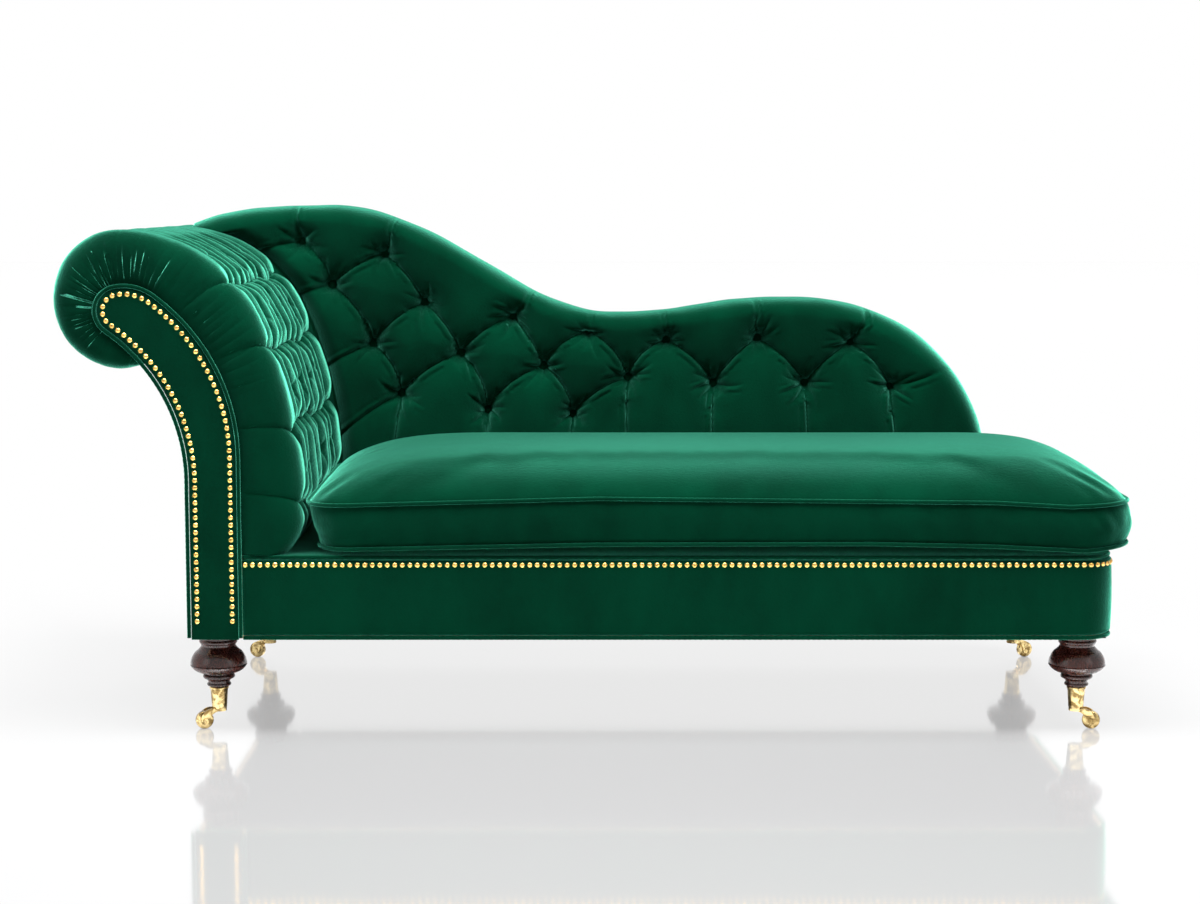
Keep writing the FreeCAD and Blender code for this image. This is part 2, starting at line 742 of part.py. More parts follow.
def arm_upholstery():
    """Padding, buttons, facings, facing cords and the plain outside panel of the head end."""
    pad_rear = BACK_FRONT - CLEAR
    section = arm_pad_outline(PAD_BOTTOM)
    front_part = board("arm_pad_front", section, f"{pad_rear} - ({FRONT_OUTER_Y})", f"{pad_rear}")
    rear_part = board("arm_pad_rear", section, f"({REAR_OUTER_Y}) - {pad_rear}", REAR_OUTER_Y)
    roll_end = "Dimensions.head_face - Dimensions.back_start_overhang - Dimensions.trim_gap"
    outside = block(
        "arm_pad_rear_limit",
        (f"{PAD_SCROLL[0] - 2 * PAD_RADIUS}", roll_end),
        ("0", "Dimensions.base_depth"),
        ("0", "Dimensions.back_height"),
    )
    rear_roll = joined("Part::MultiCommon", "arm_pad_rear_roll", [rear_part, outside])
    whole = joined("Part::MultiFuse", "arm_pad_whole", [front_part, rear_roll])
    caps, pits = buttons_and_pits(arm_button_places())
    pitted("arm_pad", whole, pits)
    shaped("arm_buttons", Part.makeCompound(caps))

    outline = facing_outline(0, size("base_bottom"))
    thickness = "Dimensions.facing_thickness"
    keep("arm_facing_front", board("arm_facing_front", outline, thickness, FRONT_OUTER_Y))
    rear_face = f"{REAR_OUTER_Y} + Dimensions.facing_thickness"
    keep("arm_facing_rear", board("arm_facing_rear", outline, thickness, rear_face))

    for end, sign in (("front", -1), ("rear", 1)):
        path = facing_right(-PIPING_SEAT, size("base_bottom")) + facing_scroll(-PIPING_SEAT)
        path += facing_left(-PIPING_SEAT, size("base_bottom"))
        place = Vector(0, sign * (TIMBER_REAR + PIPING_SEAT), 0)
        shaped(f"facing_piping_{end}", tube(flat_wire(path, base=place), PIPING))

    near = flipped(facing_left(0, RAIL_BOTTOM))
    near[-1] = arc(OUTSIDE, OUTSIDE_RADIUS, 0, PAD_START_ANGLE)
    far = [
        arc(OUTSIDE, OUTSIDE_RADIUS + size("facing_overhang"), PAD_START_ANGLE, 0),
        line((BOARD_HEAD, OUTSIDE[1]), (BOARD_HEAD, RAIL_BOTTOM)),
    ]
    band = near + [line(end_of(near[-1]), start_of(far[0]))] + far
    band.append(line(end_of(far[-1]), start_of(near[0])))
    keep("arm_outside_panel", board("arm_outside_panel", band, f"2 * ({REAR_OUTER_Y})", REAR_OUTER_Y))


# Back

def back_top(inset):
    """The serpentine top line: a high peak at the head, a dip, a lower hump, then down to the rail."""
    start = (BACK_START, BACK_TOP - size("back_start_drop") - inset)
    peak = (HEAD + size("back_peak_from_head"), BACK_TOP - inset)
    dip = (HEAD + size("back_dip_from_head"), BACK_TOP - size("back_dip_drop") - inset)
    hump = (HEAD + size("back_hump_from_head"), BACK_TOP - size("back_hump_drop") - inset)
    foot = (BACK_FOOT - inset, RAIL_TOP)
    rise, fall, swell = peak[0] - start[0], dip[0] - peak[0], hump[0] - dip[0]
    run, drop = foot[0] - hump[0], hump[1] - foot[1]
    return [
        curve(start, (start[0] + 0.28 * rise, start[1] + 31), (peak[0] - 0.4 * rise, peak[1]), peak),
        curve(peak, (peak[0] + 0.38 * fall, peak[1]), (dip[0] - 0.33 * fall, dip[1]), dip),
        curve(dip, (dip[0] + 0.5 * swell, dip[1]), (hump[0] - 0.5 * swell, hump[1]), hump),
        curve(hump, (hump[0] + 0.4 * run, hump[1]), (foot[0], foot[1] + 0.82 * drop), foot),
    ]


def region_under(inset):
    """The area between the top line and the top of the seat rails."""
    top = back_top(inset)
    corners = [end_of(top[-1]), (BACK_START, RAIL_TOP), start_of(top[0])]
    return top + [line(a, b) for a, b in zip(corners, corners[1:])]


def head_end_room(name, inset):
    """Everything on the head's side of the facing's inner edge, to clear the back's pieces."""
    edges = facing_right(inset, 0)
    far = 2 * BACK_START
    corners = [end_of(edges[-1]), (far, end_of(edges[-1])[1]), (far, 0), start_of(edges[0])]
    edges += [line(a, b) for a, b in zip(corners, corners[1:])]
    return board(name, edges, "Dimensions.base_depth", "Dimensions.base_depth")


def above(name, base, level):
    """The part of an object of the back that lies above a level."""
    room = block(
        f"{name}_room",
        ("Dimensions.head_face - Dimensions.back_start_overhang", f"{BACK_FOOT + COVER}"),
        ("0", "Dimensions.base_depth"),
        (f"{level}", "Dimensions.back_height"),
    )
    return joined("Part::MultiCommon", name, [base, room])


def back_frame():
    """A shaped top rail, upright posts under it and stuffing rails between the posts."""
    thickness = "Dimensions.rail_thickness"
    inner_inset = size("back_roll") + size("top_rail_width")
    above = board("top_rail_outer", region_under(size("back_roll")), thickness, REAR_OUTER_Y)
    below = board("top_rail_inner", region_under(inner_inset), thickness, REAR_OUTER_Y)
    keep("back_top_rail", cut("back_top_rail", above, below))

    posts = []
    last = BACK_FOOT - inner_inset
    bay = (last - BOARD_RIGHT) / 3
    for number in range(3):
        x = BOARD_RIGHT + number * bay
        tall = block(
            f"back_post_{number}_blank",
            (f"{x}", f"{x} + Dimensions.back_post_width"),
            (REAR_INNER_Y, REAR_OUTER_Y),
            ("Dimensions.rail_top", "Dimensions.back_height"),
        )
        posts.append(joined("Part::MultiCommon", f"back_post_{number}", [tall, below]))
    upright = joined("Part::Compound", "back_posts", posts)
    keep("back_posts", upright)

    blank = block(
        "back_stuffing_blank",
        (f"{BOARD_RIGHT}", f"{last}"),
        (REAR_INNER_Y, REAR_OUTER_Y),
        (f"{PAD_BOTTOM}", f"{PAD_BOTTOM} + Dimensions.stuffing_rail_height"),
    )
    within = joined("Part::MultiCommon", "back_stuffing_within", [blank, below])
    keep("back_stuffing_rails", cut("back_stuffing_rails", within, upright))


def back_webbing():
    """Upright and level web strips, stretched over the front of the back frame."""
    thick = size("web_thickness")
    width = size("web_width")
    reach = size("back_roll") + size("top_rail_width") / 2
    limit = Part.Face(flat_wire(region_under(reach), base=Vector(0, TIMBER_REAR, 0)))
    limit = limit.extrude(Vector(0, -size("base_depth") / 4, 0))
    low = PAD_BOTTOM + size("stuffing_rail_height") / 3
    high = BACK_TOP
    strips = []
    step = 2.4 * width
    x = BOARD_RIGHT + width / 2
    while x < BACK_FOOT:
        strip = Part.makeBox(width, thick, high - low, Vector(x, TIMBER_INNER - thick, low))
        strips += strip.common(limit).Solids
        x += step
    z = low + width
    while z < high:
        strip = Part.makeBox(
            BACK_FOOT - BOARD_RIGHT, thick, width, Vector(BOARD_RIGHT, TIMBER_INNER - 2 * thick, z)
        )
        strips += strip.common(limit).Solids
        z += step
    shaped("back_webbing", Part.makeCompound(strips))


def back_upholstery():
    """Padding with its roll over the top rail, the buttons and the plain outside panel."""
    pad_rear = TIMBER_INNER - 2 * size("web_thickness") - CLEAR
    face = board("back_pad_face", region_under(0), f"{pad_rear - BACK_FRONT}", f"{pad_rear}")
    roll = board("back_pad_roll_blank", region_under(0), f"{TIMBER_REAR - pad_rear}", REAR_OUTER_Y)
    bed = region_under(size("back_roll") - CLEAR)
    hollow = board("back_pad_bed", bed, f"{2 * (TIMBER_REAR - pad_rear)}", f"{TIMBER_REAR + CLEAR}")
    whole = joined("Part::MultiFuse", "back_pad_whole", [face, cut("back_pad_roll", roll, hollow)])
    trimmed = cut("back_pad_trimmed", whole, head_end_room("back_pad_head_room", PAD_BED))
    body = above("back_pad_body", trimmed, PAD_BOTTOM)
    places = []
    for along, up in BACK_BUTTONS:
        x = HEAD + along / 100 * (BACK_FOOT - HEAD)
        z = PAD_BOTTOM + up / 100 * (top_line_height(x) - PAD_BOTTOM)
        places.append(((x, BACK_FRONT, z), (0, -1, 0)))
    caps, pits = buttons_and_pits(places)
    pitted("back_pad", body, pits)
    shaped("back_buttons", Part.makeCompound(caps))

    thickness = "Dimensions.cover_thickness"
    blank = board("back_panel_blank", region_under(CLEAR), thickness, "Dimensions.base_depth / 2")
    panel = above("back_panel_upper", blank, COVER_TOP + CLEAR)
    room = head_end_room("back_panel_head_room", -2 * PIPING_SEAT)
    keep("back_outside_panel", cut("back_outside_panel", panel, room))


# Seat cushion

def cushion_plan(outset):
    """The cushion's rounded plan at its boxing, grown by an outset, as head, foot, front and rear."""
    head = PAD_FACE + size("cushion_head_gap") + 2 * PIPING_SEAT - outset
    foot = FOOT + size("cushion_foot_overhang") - 2 * PIPING_SEAT + outset
    front = FRONT - size("cushion_front_overhang") + 2 * PIPING_SEAT - outset
    rear = BACK_FRONT - size("cushion_rear_gap") - 2 * PIPING_SEAT + outset
    return head, foot, front, rear


def cushion_loop(outset):
    """The closed plan outline as straight sides and round corners."""
    head, foot, front, rear = cushion_plan(outset)
    radius = size("cushion_corner_radius") + outset
    quarter = math.pi / 2
    return [
        line((head + radius, front), (foot - radius, front)),
        arc((foot - radius, front + radius), radius, -quarter, 0),
        line((foot, front + radius), (foot, rear - radius)),
        arc((foot - radius, rear - radius), radius, 0, quarter),
        line((foot - radius, rear), (head + radius, rear)),
        arc((head + radius, rear - radius), radius, quarter, 2 * quarter),
        line((head, rear - radius), (head, front + radius)),
        arc((head + radius, front + radius), radius, 2 * quarter, 3 * quarter),
    ]


def cushion_layers(inset, bottom, top):
    """Three stacked solids: the boxing and a sloped crown and belly on either side of it."""
    lower, upper = size("cushion_lower_seam"), size("cushion_upper_seam")
    levels = (
        (bottom, size("cushion_belly_inset") + inset),
        (lower, inset),
        (upper, inset),
        (top, size("cushion_crown_inset") + inset),
    )
    solid = None
    for (z0, inset0), (z1, inset1) in zip(levels, levels[1:]):
        rings = []
        for z, shrink in ((z0, inset0), (z1, inset1)):
            head, foot, front, rear = cushion_plan(-shrink)
            corners = [(head, front), (foot, front), (foot, rear), (head, rear), (head, front)]
            rings.append(Part.makePolygon([Vector(x, y, z) for x, y in corners]))
        layer = Part.makeLoft(rings, True, True)
        solid = layer if solid is None else solid.fuse(layer)
    column = Part.Face(flat_wire(cushion_loop(-inset), Rotation(), Vector(0, 0, bottom)))
    return solid.common(column.extrude(Vector(0, 0, top - bottom)))


def seat_cushion():
    """A loose boxed cushion: a sewn cover, its filling and a cord along both seams."""
    wall = size("cushion_cover_wall")
    outer = cushion_layers(0, PAD_BOTTOM, size("cushion_top"))
    hollow = cushion_layers(wall, PAD_BOTTOM + wall, size("cushion_top") - wall)
    filling = cushion_layers(wall + CLEAR, PAD_BOTTOM + wall + CLEAR, size("cushion_top") - wall - CLEAR)
    shaped("seat_cushion_cover", outer.cut(hollow))
    shaped("seat_cushion_filling", filling)
    for seam in ("lower", "upper"):
        level = size(f"cushion_{seam}_seam")
        loop = flat_wire(cushion_loop(PIPING_SEAT), Rotation(), Vector(0, 0, level))
        shaped(f"cushion_piping_{seam}", tube(loop, PIPING))


# Nails

def nail_row(wire):
    """Domed heads at an even pitch along a wire, as places on it."""
    count = max(2, round(wire.Length / size("nail_pitch")) + 1)
    return wire.discretize(Number=count)


def nails():
    """Close-set brass nails along the top of the base and round both facings."""
    radius, height = size("nail_diameter") / 2, size("nail_height")
    base_row = flat_wire(base_plan(0, COVER_HEAD + radius), Rotation(), Vector(0, 0, size("nail_line")))
    heads = []
    corner = size("base_corner_radius")
    for point in nail_row(base_row):
        side_x = max(0, point.x - (FOOT - corner))
        side_y = math.copysign(max(0, abs(point.y) - (REAR - corner)), point.y)
        outward = Vector(side_x, side_y, 0)
        outward.normalize()
        heads.append(dome(radius, height, point, outward))
    shaped("base_nails", Part.makeCompound(heads))

    inset = size("nail_inset")
    bottom = size("nail_row_bottom")
    path = facing_right(inset, bottom) + facing_scroll(inset) + facing_left(inset, bottom)
    for end, sign in (("front", -1), ("rear", 1)):
        place = Vector(0, sign * (TIMBER_REAR + size("facing_thickness")), 0)
        row = nail_row(flat_wire(path, base=place))
        heads = [dome(radius, height, point, (0, sign, 0)) for point in row]
        shaped(f"facing_nails_{end}", Part.makeCompound(heads))


# Legs and casters

def leg_profile():
    """Half of the turned leg: beads above and below a full bulb, then a tenon for the cup."""
    top, bulb = size("leg_top_radius"), size("leg_bulb_radius")
    neck, tenon = size("leg_neck_radius"), size("leg_tenon_radius")
    bore = size("leg_bolt_diameter") / 2 + size("running_clearance")
    bore_end = size("leg_bolt_bottom") - size("running_clearance")
    tenon_end = CUP_BOTTOM + size("cup_floor") + CLEAR
    rim = CUP_TOP + CLEAR
    base = RAIL_BOTTOM
    ring = neck + 5.5
    return [
        line((0, tenon_end), (tenon - 1.3, tenon_end)),
        line((tenon - 1.3, tenon_end), (tenon, rim)),
        line((tenon, rim), (neck, rim + 1)),
        through((neck, rim + 1), (neck + 2, rim + 3.5), (neck, rim + 6)),
        line((neck, rim + 6), (neck, rim + 10)),
        line((neck, rim + 10), (ring, rim + 14)),
        through((ring, rim + 14), (ring + 3.2, rim + 17.5), (ring, rim + 21)),
        line((ring, rim + 21), (ring + 1, rim + 24)),
        through((ring + 1, rim + 24), (bulb - 7, rim + 29), (bulb, base - 55.5)),
        line((bulb, base - 55.5), (bulb - 1.2, base - 54.3)),
        line((bulb - 1.2, base - 54.3), (bulb, base - 53)),
        through((bulb, base - 53), (bulb - 3, base - 42), (bulb - 9, base - 33)),
        through((bulb - 9, base - 33), (top + 3, base - 28), (top - 1, base - 22.5)),
        line((top - 1, base - 22.5), (top, base - 19)),
        through((top, base - 19), (top + 2.5, base - 15), (top, base - 11)),
        line((top, base - 11), (top, base)),
        line((top, base), (bore, base)),
        line((bore, base), (bore, bore_end)),
        line((bore, bore_end), (0, bore_end)),
        line((0, bore_end), (0, tenon_end)),
    ]


def cup_profile():
    """Half of the brass cup: a beaded rim, tapered walls round the tenon and a bored floor."""
    low, high = CUP_BOTTOM, CUP_TOP
    floor = low + size("cup_floor")
    tenon = size("leg_tenon_radius") + CLEAR
    bore = size("swivel_pin_diameter") / 2 + size("running_clearance")
    rim = size("cup_radius")
    foot = size("fork_head_radius")
    return [
        line((bore, low), (foot, low)),
        line((foot, low), (foot + 0.6, low + 3)),
        line((foot + 0.6, low + 3), (rim - 1, high - 5)),
        through((rim - 1, high - 5), (rim + 0.6, high - 2.5), (rim - 1, high)),
        line((rim - 1, high), (tenon, high)),
        line((tenon, high), (tenon - 1.3, floor)),
        line((tenon - 1.3, floor), (bore, floor)),
        line((bore, floor), (bore, low)),
    ]


def wheel_profile():
    """Half of the wheel about its axle: a bored disc with rounded rims and dished sides."""
    radius, half = size("wheel_radius"), size("wheel_width") / 2
    bore = size("axle_diameter") / 2 + size("running_clearance")
    return [
        line((bore, -half), (radius - 6, -half)),
        line((radius - 6, -half), (radius - 2, -half + 0.8)),
        through((radius - 2, -half + 0.8), (radius - 0.6, -half + 1.6), (radius, -half + 3)),
        line((radius, -half + 3), (radius, half - 3)),
        through((radius, half - 3), (radius - 0.6, half - 1.6), (radius - 2, half - 0.8)),
        line((radius - 2, half - 0.8), (radius - 6, half)),
        line((radius - 6, half), (bore, half)),
        line((bore, half), (bore, -half)),
    ]


def axle_profile():
    """Half of the axle pin, with a flat head outside each fork plate."""
    pin = size("axle_diameter") / 2
    grip = size("wheel_width") / 2 + size("fork_side_gap") + size("fork_plate") + CLEAR / 2
    end = grip + 1.5
    return chain([
        (0, -end), (pin + 1, -end), (pin + 1.5, -grip), (pin, -grip),
        (pin, grip), (pin + 1.5, grip), (pin + 1, end), (0, end),
    ])


def fork_plate_outline():
    """Side view of one fork plate, sweeping from the head down to the round boss at the axle."""
    trail, axle_z = size("caster_trail"), size("wheel_radius")
    top = CUP_BOTTOM - CLEAR
    under = top - size("fork_head_thickness")
    boss = size("axle_diameter") / 2 + 4.5
    return [
        line((-8, under), (-8, top)),
        line((-8, top), (9, top)),
        through((9, top), (trail + 2, 0.6 * top + 0.6 * axle_z), (trail + boss, axle_z)),
        through((trail + boss, axle_z), (trail, axle_z - boss), (trail - boss, axle_z)),
        through((trail - boss, axle_z), (0.5 * trail, 0.5 * (axle_z + under) + 3), (2, under)),
        line((2, under), (-8, under)),
    ]


# How each caster has come to rest, in degrees about its stem from +X.
REST_YAW = {"head_front": 200, "head_rear": 165, "foot_front": -18, "foot_rear": 20}


def caster(corner, x, y):
    """Cup, fork, axle and wheel of one caster, turned about its stem to the way it rests."""
    yaw = Rotation(Vector(0, 0, 1), REST_YAW[corner])
    stem = Placement(Vector(x, y, 0), yaw)
    lying = Placement(Vector(size("caster_trail"), 0, size("wheel_radius")), Rotation(Vector(1, 0, 0), 90))

    cup = keep(f"caster_cup_{corner}", turned(f"caster_cup_{corner}", cup_profile()))
    cup.Placement = Placement(Vector(x, y, 0), Rotation())

    name = f"caster_fork_{corner}"
    inner = size("wheel_width") / 2 + size("fork_side_gap")
    plates = []
    for side, rear_face in (("near", -inner), ("far", inner + size("fork_plate"))):
        outline = fork_plate_outline()
        plates.append(board(f"{name}_{side}", outline, "Dimensions.fork_plate", f"{rear_face}"))
    top = CUP_BOTTOM - CLEAR
    head = rod(
        f"{name}_head",
        "Dimensions.fork_head_radius",
        "Dimensions.fork_head_thickness",
        (0, 0, top - size("fork_head_thickness")),
        (0, 0, 1),
    )
    pin = rod(
        f"{name}_pin",
        "Dimensions.swivel_pin_diameter / 2",
        "Dimensions.cup_floor",
        (0, 0, top),
        (0, 0, 1),
    )
    solid = joined("Part::MultiFuse", f"{name}_solid", plates + [head, pin])
    hole = rod(
        f"{name}_hole",
        "Dimensions.axle_diameter / 2 + Dimensions.running_clearance",
        "4 * Dimensions.wheel_width",
        (size("caster_trail"), 2 * size("wheel_width"), size("wheel_radius")),
        (0, -1, 0),
    )
    fork = keep(name, cut(name, solid, hole))
    fork.Placement = stem

    axle = keep(f"caster_axle_{corner}", turned(f"caster_axle_{corner}", axle_profile()))
    axle.Placement = stem.multiply(lying)
    wheel = keep(f"caster_wheel_{corner}", turned(f"caster_wheel_{corner}", wheel_profile()))
    wheel.Placement = stem.multiply(lying)


def legs():
    """Four turned legs, each bolted up into its block and standing in a caster."""
    bolts = []
    for end, x in LEG_X.items():
        for side, y in LEG_Y.items():
            corner = f"{end}_{side}"
            leg = keep(f"leg_{corner}", turned(f"leg_{corner}", leg_profile()))
            leg.Placement = Placement(Vector(x, y, 0), Rotation())
            bolts.append(
                rod(
                    f"leg_bolt_{corner}",
                    "Dimensions.leg_bolt_diameter / 2",
                    "Dimensions.leg_bolt_top - Dimensions.leg_bolt_bottom",
                    (x, y, size("leg_bolt_bottom")),
                    (0, 0, 1),
                )
            )
            caster(corner, x, y)
    keep("leg_bolts", joined("Part::Compound", "leg_bolts", bolts))


seat_frame()
leg_blocks()
suspension()
base_upholstery()
scrolled_end()
arm_upholstery()
back_frame()
back_webbing()
back_upholstery()
seat_cushion()
nails()
legs()
doc.recompute()

for item in doc.Objects:
    for state in ("Invalid", "Error"):
        if state in item.State:
            raise RuntimeError(f"{item.Label} is {state}")
for name, item in NODES.items():
    if item.Shape.isNull() or not item.Shape.isValid():
        raise RuntimeError(f"{name} has no valid shape")
    if not item.Shape.Solids:
        raise RuntimeError(f"{name} holds no solid")

os.makedirs("parts", exist_ok=True)
for name, item in NODES.items():
    item.Shape.exportStep(f"parts/{name}.step")
print(f"{len(NODES)} sub-parts written")
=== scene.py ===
import math

import bmesh
import bpy
import numpy as np
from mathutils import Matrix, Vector


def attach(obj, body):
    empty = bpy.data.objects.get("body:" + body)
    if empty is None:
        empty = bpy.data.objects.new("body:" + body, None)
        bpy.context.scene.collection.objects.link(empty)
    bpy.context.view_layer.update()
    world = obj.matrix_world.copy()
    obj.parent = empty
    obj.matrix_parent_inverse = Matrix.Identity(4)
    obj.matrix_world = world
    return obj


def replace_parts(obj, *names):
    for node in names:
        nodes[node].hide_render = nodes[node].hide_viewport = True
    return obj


# A chaise longue: one scrolled head end, a serpentine deep-buttoned back, a loose boxed seat
# cushion and four turned legs on brass casters. Lengths in this file are millimetres until a
# mesh is made.

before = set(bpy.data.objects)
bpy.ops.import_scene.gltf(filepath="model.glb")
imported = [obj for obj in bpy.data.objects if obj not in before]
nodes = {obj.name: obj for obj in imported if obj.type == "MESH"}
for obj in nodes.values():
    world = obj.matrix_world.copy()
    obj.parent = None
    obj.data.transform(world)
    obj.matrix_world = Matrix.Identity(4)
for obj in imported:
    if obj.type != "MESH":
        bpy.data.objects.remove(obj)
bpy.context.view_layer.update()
scene = bpy.context.scene

# Finishes: materials made up of shader nodes, whose sockets take part in ordinary sums.


class Wire:
    """A shader socket that takes part in ordinary sums by adding Math nodes."""

    def __init__(self, graph, socket):
        self.graph = graph
        self.socket = socket

    def maths(self, operation, *operands):
        inputs = dict(enumerate(operands))
        return self.graph.node("ShaderNodeMath", {"operation": operation}, inputs)

    def __add__(self, other):
        return self.maths("ADD", self, other)

    __radd__ = __add__

    def __rsub__(self, other):
        return self.maths("SUBTRACT", other, self)

    def __mul__(self, other):
        return self.maths("MULTIPLY", self, other)

    def largest(self, other):
        return self.maths("MAXIMUM", self, other)

    def above(self, low, high):
        """0 below the low value and 1 over the high one, with a soft step between."""
        settings = {"interpolation_type": "SMOOTHSTEP"}
        return self.graph.node("ShaderNodeMapRange", settings, {0: self, 1: low, 2: high})


class Graph:
    """A tree of shader nodes."""

    def __init__(self, tree):
        self.tree = tree

    def feed(self, socket, value):
        """Link a wire to a socket, or set its constant."""
        if isinstance(value, Wire):
            self.tree.links.new(value.socket, socket)
        elif socket.type == "RGBA":
            socket.default_value = (*value, 1)
        else:
            socket.default_value = value

    def node(self, kind, settings=None, inputs=None, output=0):
        node = self.tree.nodes.new(kind)
        for name, value in (settings or {}).items():
            setattr(node, name, value)
        for socket, value in (inputs or {}).items():
            self.feed(node.inputs[socket], value)
        return Wire(self, node.outputs[output])


class Finish(Graph):
    """A material being made up, with its Principled shader."""

    def __init__(self, name, constants):
        self.material = bpy.data.materials.new(name)
        self.material.use_nodes = True
        super().__init__(self.material.node_tree)
        self.surface = self.tree.nodes["Principled BSDF"]
        for socket, value in constants.items():
            self.feed(self.surface.inputs[socket], value)

    def place(self, stretch=(1, 1, 1)):
        """The point on the object in metres, stretched along its axes."""
        point = self.node("ShaderNodeTexCoord", output="Object")
        return self.node("ShaderNodeMapping", {}, {"Vector": point, "Scale": stretch})

    def noise(self, scale, stretch=(1, 1, 1), detail=2.0, distortion=0.0):
        inputs = {"Vector": self.place(stretch), "Scale": scale, "Detail": detail}
        return self.node("ShaderNodeTexNoise", {}, {**inputs, "Distortion": distortion})

    def colours(self, factor, first, second):
        """Colour the surface with the first colour at 0 and the second at 1."""
        inputs = {0: factor, 6: first, 7: second}
        mix = self.node("ShaderNodeMix", {"data_type": "RGBA"}, inputs, output=2)
        self.feed(self.surface.inputs["Base Color"], mix)

    def roughness(self, value):
        self.feed(self.surface.inputs["Roughness"], value)

    def bumps(self, height, distance, strength=1.0):
        inputs = {"Height": height, "Distance": distance, "Strength": strength}
        self.feed(self.surface.inputs["Normal"], self.node("ShaderNodeBump", {}, inputs))


def finished(names, finish):
    """Give CAD nodes a finish."""
    for name in names:
        mesh = nodes[name].data
        mesh.materials.clear()
        mesh.materials.append(finish.material)


# Timber frame: planed beech rails, boards, posts and leg blocks, glued and dowelled.
# All of it is hidden by the upholstery, so it is left unfinished, with its open straight grain.

BEECH = (0.60, 0.41, 0.24)
BEECH_GRAIN = (0.38, 0.22, 0.11)


def planed_timber(name, stretch):
    """Beech whose grain runs along the axis that is stretched least."""
    wood = Finish(name, {"Roughness": 0.62, "Specular IOR Level": 0.35})
    grain = wood.noise(9, stretch, detail=5, distortion=0.6)
    flecks = wood.noise(160, stretch, detail=1)
    figure = grain.above(0.3, 0.72) * 0.75 + flecks.above(0.52, 0.68) * 0.3
    wood.colours(figure, BEECH, BEECH_GRAIN)
    wood.bumps(figure, 0.0003)
    return wood


along_x = planed_timber("beech_lengthwise", (0.12, 1.6, 1.6))
along_y = planed_timber("beech_crosswise", (1.6, 0.12, 1.6))
upright = planed_timber("beech_upright", (1.6, 1.6, 0.12))
long_rails = ["front_seat_rail", "back_seat_rail", "back_top_rail", "back_stuffing_rails"]
finished(long_rails, along_x)
finished(["head_seat_rail", "foot_seat_rail", "cross_rails", "arm_rails"], along_y)
finished(["leg_blocks", "back_posts", "arm_board_front", "arm_board_rear"], upright)

# Springing: zigzag springs of hard drawn wire in folded clips across the seat rails, and the
# bolts that hold the legs. Bare steel with a thin oily bloom.

steel = Finish("spring_steel", {"Metallic": 1.0})
bloom = steel.noise(34, detail=4)
steel.colours(bloom.above(0.42, 0.7), (0.46, 0.47, 0.49), (0.24, 0.23, 0.22))
steel.roughness(0.28 + bloom * 0.22)
finished(["zigzag_springs", "spring_clips", "leg_bolts"], steel)

# Linings: jute webbing and hessian under the stuffing, tacked to the rails, and polyester
# wadding inside the cushion. Coarse plain weaves, seen only with the covers off.


def woven(name, yarn, gap, count):
    """A plain weave of two sets of crossing threads, with slubs."""
    cloth = Finish(name, {"Roughness": 0.9, "Specular IOR Level": 0.15})

    def threads(direction, stretch, **more):
        inputs = {"Vector": cloth.place(stretch), "Scale": count, "Distortion": 0.6, **more}
        return cloth.node("ShaderNodeTexWave", {"bands_direction": direction}, inputs, output=1)

    thread = threads("X", (1, 1, 1), Detail=1.0) * 0.5 + threads("DIAGONAL", (-1, 1, 1)) * 0.5
    slub = cloth.noise(60, detail=3)
    cloth.colours(thread.above(0.15, 0.7) * (0.6 + slub * 0.5), gap, yarn)
    cloth.bumps(thread, 0.0006)
    return cloth


jute = woven("jute_hessian", (0.47, 0.36, 0.22), (0.20, 0.14, 0.08), 95)
tape = woven("jute_webbing", (0.55, 0.45, 0.30), (0.24, 0.17, 0.10), 70)
wadding = Finish("polyester_wadding", {"Roughness": 0.95, "Sheen Weight": 0.5})
tufts = wadding.noise(55, detail=5)
wadding.colours(tufts.above(0.3, 0.7), (0.80, 0.79, 0.74), (0.93, 0.92, 0.89))
wadding.bumps(tufts, 0.002)
finished(["seat_hessian", "arm_hessian"], jute)
finished(["back_webbing"], tape)

# Shapes: cloth drawn by a function over a grid, lines measured along their run, and boards.

MM = 0.001
HEAD = -679.0
FOOT = 870.0
FRONT = -370.0
REAR = 370.0


def unit(value):
    """The value, held between 0 and 1."""
    return np.clip(value, 0, 1)


def cloth_grid(columns, rows, shape):
    """A sheet of quads whose points a function puts in place, as arrays of u across and v up."""
    sheet = bmesh.new()
    bmesh.ops.create_grid(sheet, x_segments=columns, y_segments=rows, size=0.5)
    flat = np.array([point.co for point in sheet.verts])
    u, v = (flat[:, axis].reshape(rows + 1, columns + 1) + 0.5 for axis in (0, 1))
    places = np.stack(shape(u, v), axis=-1).reshape(-1, 3) * MM
    for point, place in zip(sheet.verts, places):
        point.co = place
    return sheet


def made(sheet, name, finish, body="frame"):
    """Turn a bmesh into a piece that rides on a body, with its faces outwards."""
    bmesh.ops.recalc_face_normals(sheet, faces=sheet.faces)
    mesh = bpy.data.meshes.new(name)
    sheet.to_mesh(mesh)
    sheet.free()
    mesh.polygons.foreach_set("use_smooth", [True] * len(mesh.polygons))
    mesh.materials.append(finish.material)
    piece = bpy.data.objects.new(name, mesh)
    scene.collection.objects.link(piece)
    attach(piece, body)
    return piece


def measured(line):
    """How far each point of a line is along it."""
    return np.concatenate([[0], np.cumsum(np.linalg.norm(np.diff(line, axis=0), axis=1))])


def along(distance, run, line):
    """Both coordinates of a flat line at some distances along it."""
    return np.interp(distance, run, line[:, 0]), np.interp(distance, run, line[:, 1])


def open_edges(shell):
    return [edge for edge in shell.edges if edge.is_boundary]


def filled(shell):
    """Close every open loop of edges with a face."""
    bmesh.ops.holes_fill(shell, edges=open_edges(shell))


def points_of(geometry):
    return [item for item in geometry if isinstance(item, bmesh.types.BMVert)]


